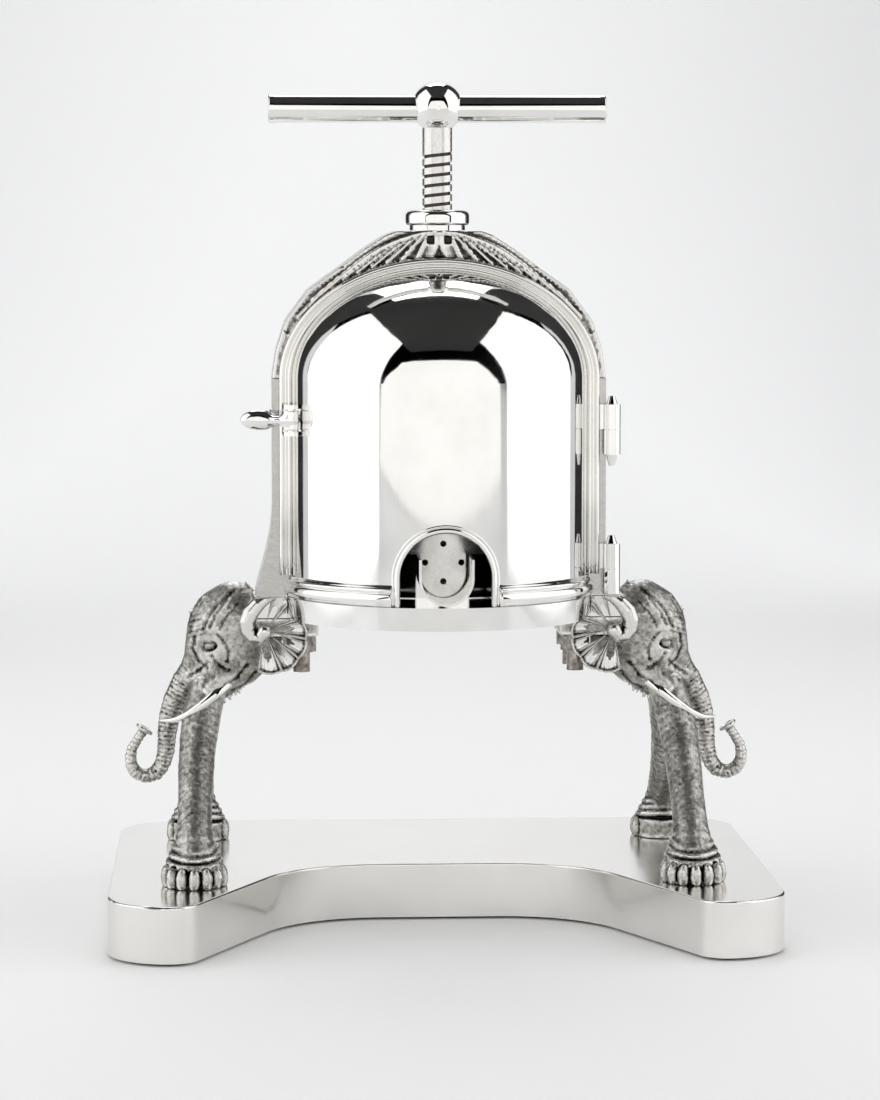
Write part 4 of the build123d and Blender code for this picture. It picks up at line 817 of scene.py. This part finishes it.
def sculpt_crown():
    """The arch over the bell, with shell ribs that sweep down from the collar."""
    clay = Clay((-121, -32.5, SPRING - 2), (121, 1, 498), grid_step(0.85))
    shoulder = [(CROWN_HALF, SPRING), (115.5, 410), (108.5, 431.6), (92.5, 453.3), (71.6, 468),
                (53, 482), (38, 491.5), (30, 494.5)]
    inner = ellipse_arch(OPENING_HALF, SPRING, OPENING_RISE, SPRING - 1, 60)[::-1]
    foot = SPRING - 5
    outline = np.array(shoulder + [(-x, z) for x, z in shoulder[::-1]]
                       + [(-CROWN_HALF, foot), (-OPENING_HALF, foot)]
                       + [tuple(p) for p in inner[::-1]]
                       + [(OPENING_HALF, foot), (CROWN_HALF, foot)])
    flat = polygon_distance(clay.x, clay.z, outline)
    ribs = np.full(flat.shape, 1e3, np.float32)
    for k in range(RIBS):
        start = np.array([4.5 + 2.6 * k, 493.6 - 0.10 * k * k])
        ex = 15 + 10.6 * k
        end = np.array([ex, SPRING + RIM_RISE * math.sqrt(1 - (ex / RIM_HALF) ** 2) + 0.8 + 0.25 * k])
        bend = np.array([start[0] * 0.5 + ex * 0.32, 493.2 - 0.55 * k])
        points = [(1 - t) ** 2 * start + 2 * t * (1 - t) * bend + t * t * end
                  for t in np.linspace(0, 1, 10)]
        for a, b in zip(points, points[1:]):
            ux, uz = b - a
            x = np.abs(clay.x)
            t = np.clip(((x - a[0]) * ux + (clay.z - a[1]) * uz) / (ux * ux + uz * uz), 0, 1)
            gap = np.sqrt((x - a[0] - t * ux) ** 2 + (clay.z - a[1] - t * uz) ** 2)
            ribs = np.minimum(ribs, gap)
    rim_outer = np.sqrt((clay.x / RIM_HALF) ** 2 + ((clay.z - SPRING) / RIM_RISE) ** 2) - 1
    free = (rim_outer > 0.006) & (clay.z > SPRING + 24)
    relief_map = 1.3 * np.exp(-(ribs / 1.35) ** 2) - 0.7 * np.clip(ribs / 3.4, 0, 1)
    relief_map = np.where(free & (ribs < 14), relief_map, 0)
    edge_bead = 1.2 * np.exp(-((flat + 1.6) / 1.0) ** 2) * (clay.z < 468) * (rim_outer > 0.01)
    face = (-clay.y - 29.3 - (relief_map + edge_bead) * 0.8)
    body = np.maximum(face * 0.85, flat - np.clip(relief_map, -1, 1) * 0.5 * (clay.z > 430))
    clay.add(np.maximum(body, clay.y))
    for side in (-1, 1):
        slot = np.maximum(np.abs(clay.x - side * 6.2) - 2.6, np.abs(clay.z - 487.8) - 2.6)
        clay.cut(np.maximum(slot, clay.y + 26), 0.3)
    peak = np.maximum(np.abs(clay.x) - 0.9 * (484 - clay.z) * 0.55, 475.5 - clay.z)
    clay.cut(np.maximum(peak, clay.y + 27.6), 0.4)
    bush = np.sqrt(clay.x ** 2 + clay.y ** 2) - 17.15
    clay.cut(np.maximum(bush, 440 - clay.z))
    neck = np.sqrt(clay.x ** 2 + clay.y ** 2) - 20.15
    clay.cut(np.maximum(neck, CROWN_TOP - clay.z))
    clay.cut(CROWN_TOP + 0.05 - clay.z)
    clay.cut(clay.z - SPRING)
    verts, quads = clay.surface()
    return verts, quads, clay.cavity(verts)


verts, quads, hollow = sculpt_crown()
rear_verts, rear_quads = mirrored(verts, quads, 1, 1)
crown = make_mesh("shell_crown", np.concatenate([verts, rear_verts]),
                  np.concatenate([quads, rear_quads + len(verts)]),
                  np.concatenate([hollow, hollow]))
stand_in(crown, SHADED_ORNAMENT, "arch_crown", "frame")
rim_bottom = box_mm("door_rim")[0][2]
for rim_name, face, body in (("door_rim", -1, "door"), ("rear_rim", 1, "frame")):
    rim = moulded_rim(f"beaded_{rim_name}", RIM_PROFILE, RIM_HALF, SPRING, RIM_RISE, rim_bottom,
                      face)
    stand_in(rim, SILVER, rim_name, body)


# ---------------------------------------------------------------- ring, notch border and latch
def swept_ring(name, profile, spans, axis_y, face):
    """A turned moulding (radius, height) over the given spans of angle from the front."""
    profile = np.array(profile)
    all_verts, all_faces, start = [], [], 0
    for first, last in spans:
        turn = np.radians(np.linspace(first, last, 90))
        verts = np.zeros((len(turn), len(profile), 3))
        verts[:, :, 0] = np.sin(turn)[:, None] * profile[None, :, 0]
        verts[:, :, 1] = face * (axis_y + np.cos(turn)[:, None] * profile[None, :, 0])
        verts[:, :, 2] = profile[None, :, 1]
        faces = grid_faces(len(turn), len(profile), close_columns=True, start=start)
        all_verts.append(verts.reshape(-1, 3))
        all_faces.append(faces)
        start += len(turn) * len(profile)
    return sealed(make_mesh(name, np.concatenate(all_verts), np.concatenate(all_faces)))


def ring_profile(bottom):
    """Section (radius, height) of the bell's bottom ring: a torus, then a smaller one."""
    points = [(106.2, 0), (110.6, 0), (111.4, 0.9)]
    points += [(111.0 + 1.5 * math.sin(a), 5.0 - 3.6 * math.cos(a))
               for a in np.linspace(0.3, 2.84, 9)]
    points += [(110.9, 9.0), (110.2, 9.3)]
    points += [(109.9 + 1.3 * math.sin(a), 11.0 - 1.6 * math.cos(a))
               for a in np.linspace(0.3, 2.84, 6)]
    points += [(109.2, 13.2), (108.5, 14.9), (106.2, 14.9)]
    return [(r, bottom + z) for r, z in points]


def notch_border():
    """A raised bead round the spout's notch, laid on the curve of the door."""
    low, high = box_mm("notch_moulding")
    outer = high[0] - 0.05
    width = 5.95
    inner = outer - width
    spring = high[2] - 0.05 - outer
    path = ellipse_arch(inner, spring, inner, low[2] + 0.05, 80)
    along = np.gradient(path, axis=0)
    along /= np.linalg.norm(along, axis=1)[:, None]
    outward = np.stack([-along[:, 1], along[:, 0]], 1)
    profile = np.array([(0, 0.05)] + bead(0.05, 4.2, 0.6, 2.9) + bead(4.3, 5.9, 0.3, 1.3, 6)
                       + [(width, 0.05)])
    verts = np.zeros((len(path), len(profile), 3))
    verts[:, :, 0] = path[:, None, 0] + outward[:, None, 0] * profile[None, :, 0]
    verts[:, :, 2] = path[:, None, 1] + outward[:, None, 1] * profile[None, :, 0]
    bell = np.sqrt(BELL_RADIUS ** 2 - verts[:, :, 0] ** 2)
    verts[:, :, 1] = -BELL_AXIS - bell - profile[None, :, 1]
    faces = grid_faces(len(path), len(profile), close_columns=True)
    return sealed(make_mesh("notch_bead", verts.reshape(-1, 3), faces))


LATCH_PIVOT = (-105.5, -54.0)


def sculpt_latch():
    """A thumb lever with a round eye on its pivot and a leaf-shaped grip."""
    low, high = box_mm("latch_lever")
    z = (low[2] + high[2]) / 2
    clay = Clay((low[0] - 1, low[1] - 1, low[2] - 1), (high[0] + 1, high[1] + 1, high[2] + 1), 0.45)
    px, py = LATCH_PIVOT
    clay.add(clay.disc((px, py, z), (0, 0, 1), 2.2, 3.2))
    eye = np.sqrt((clay.x - px) ** 2 + (clay.y - py) ** 2) - 5.4
    clay.add(np.maximum(eye, np.abs(clay.z - z) - 6.8), 1)
    clay.add(clay.chain([(px - 3, py - 0.6, z), (-116, -52.5, z), (-124, -48, z), (-130.5, -41, z),
                         (-137.5, -32.5, z)], [3.6, 3.2, 4.2, 5.2, 2.6])[0], 3)
    clay.add(clay.ball((-127.6, -47.5, z), (13.2, 5.4, 7.2)), 2)
    hook = clay.limb((-124, -46, z), (-122.6, -25.5, z), 3.0, 1.8)[0]
    clay.add(hook, 1.5)
    clay.cut(-120.6 - clay.x + FAR * (clay.y < -38))
    bore = np.sqrt((clay.x - px) ** 2 + (clay.y - py) ** 2) - 2.62
    clay.cut(bore)
    verts, quads = clay.surface()
    return make_mesh("thumb_lever", verts, quads)


ring_section = ring_profile(box_mm("door_ring")[0][2])
ring_end = 79.2         # degrees from the front or back to the ring's ends
notch_half = box_mm("notch_moulding")[1][0]
gap = math.degrees(math.asin(min(0.9, (notch_half + 0.1) / 110.0)))
door_ring = swept_ring("moulded_door_ring", ring_section, [(-ring_end, -gap), (gap, ring_end)],
                       BELL_AXIS, -1)
stand_in(door_ring, SILVER, "door_ring", "door")
rear_ring = swept_ring("moulded_rear_ring", ring_section, [(-ring_end, ring_end)], BELL_AXIS, 1)
stand_in(rear_ring, SILVER, "rear_ring", "frame")
stand_in(notch_border(), SILVER, "notch_moulding", "door")
stand_in(sculpt_latch(), SILVER, "latch_lever", "latch")


# ---------------------------------------------------------------- finish on the CAD nodes
FINISHES = {
    BASE_PLATE: ["base_casing"],
    SILVER: ["press_plate", "juice_tray", "tbar", "tbar_caps", "ball_hub", "ball_pin",
             "door_shell", "rear_shell", "door_ring", "rear_ring", "door_rim", "rear_rim",
             "notch_moulding", "press_table", "table_centre_plug", "hinge_pins",
             "upper_hinge_door_half", "lower_hinge_door_half", "upper_hinge_frame_half",
             "lower_hinge_frame_half", "latch_lever", "latch_lug", "latch_pin", "latch_keeper",
             "nut_bush", "tusk_front_left", "tusk_front_right", "tusk_rear_left", "tusk_rear_right"],
    SHADED_ORNAMENT: ["arch_crown", "column_left", "column_right", "ear_front_left", "ear_front_right",
             "ear_rear_left", "ear_rear_right"],
    OXIDISED: ["elephant_head_left", "elephant_head_right", "leg_front_left", "leg_front_right",
               "leg_rear_left", "leg_rear_right"],
    THREAD: ["screw_spindle"],
    SATIN: ["strainer", "swivel_keeper", "base_cover", "column_dowels"],
    STEEL: ["frame_studs", "frame_nuts", "frame_washers", "leg_studs", "leg_nuts",
            "leg_washers", "keeper_screws", "base_cover_screws", "rear_shell_screws",
            "nut_lock_screw"],
    FELT: ["base_pad"],
}
for material, names in FINISHES.items():
    for name in names:
        paint(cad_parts[name], material)
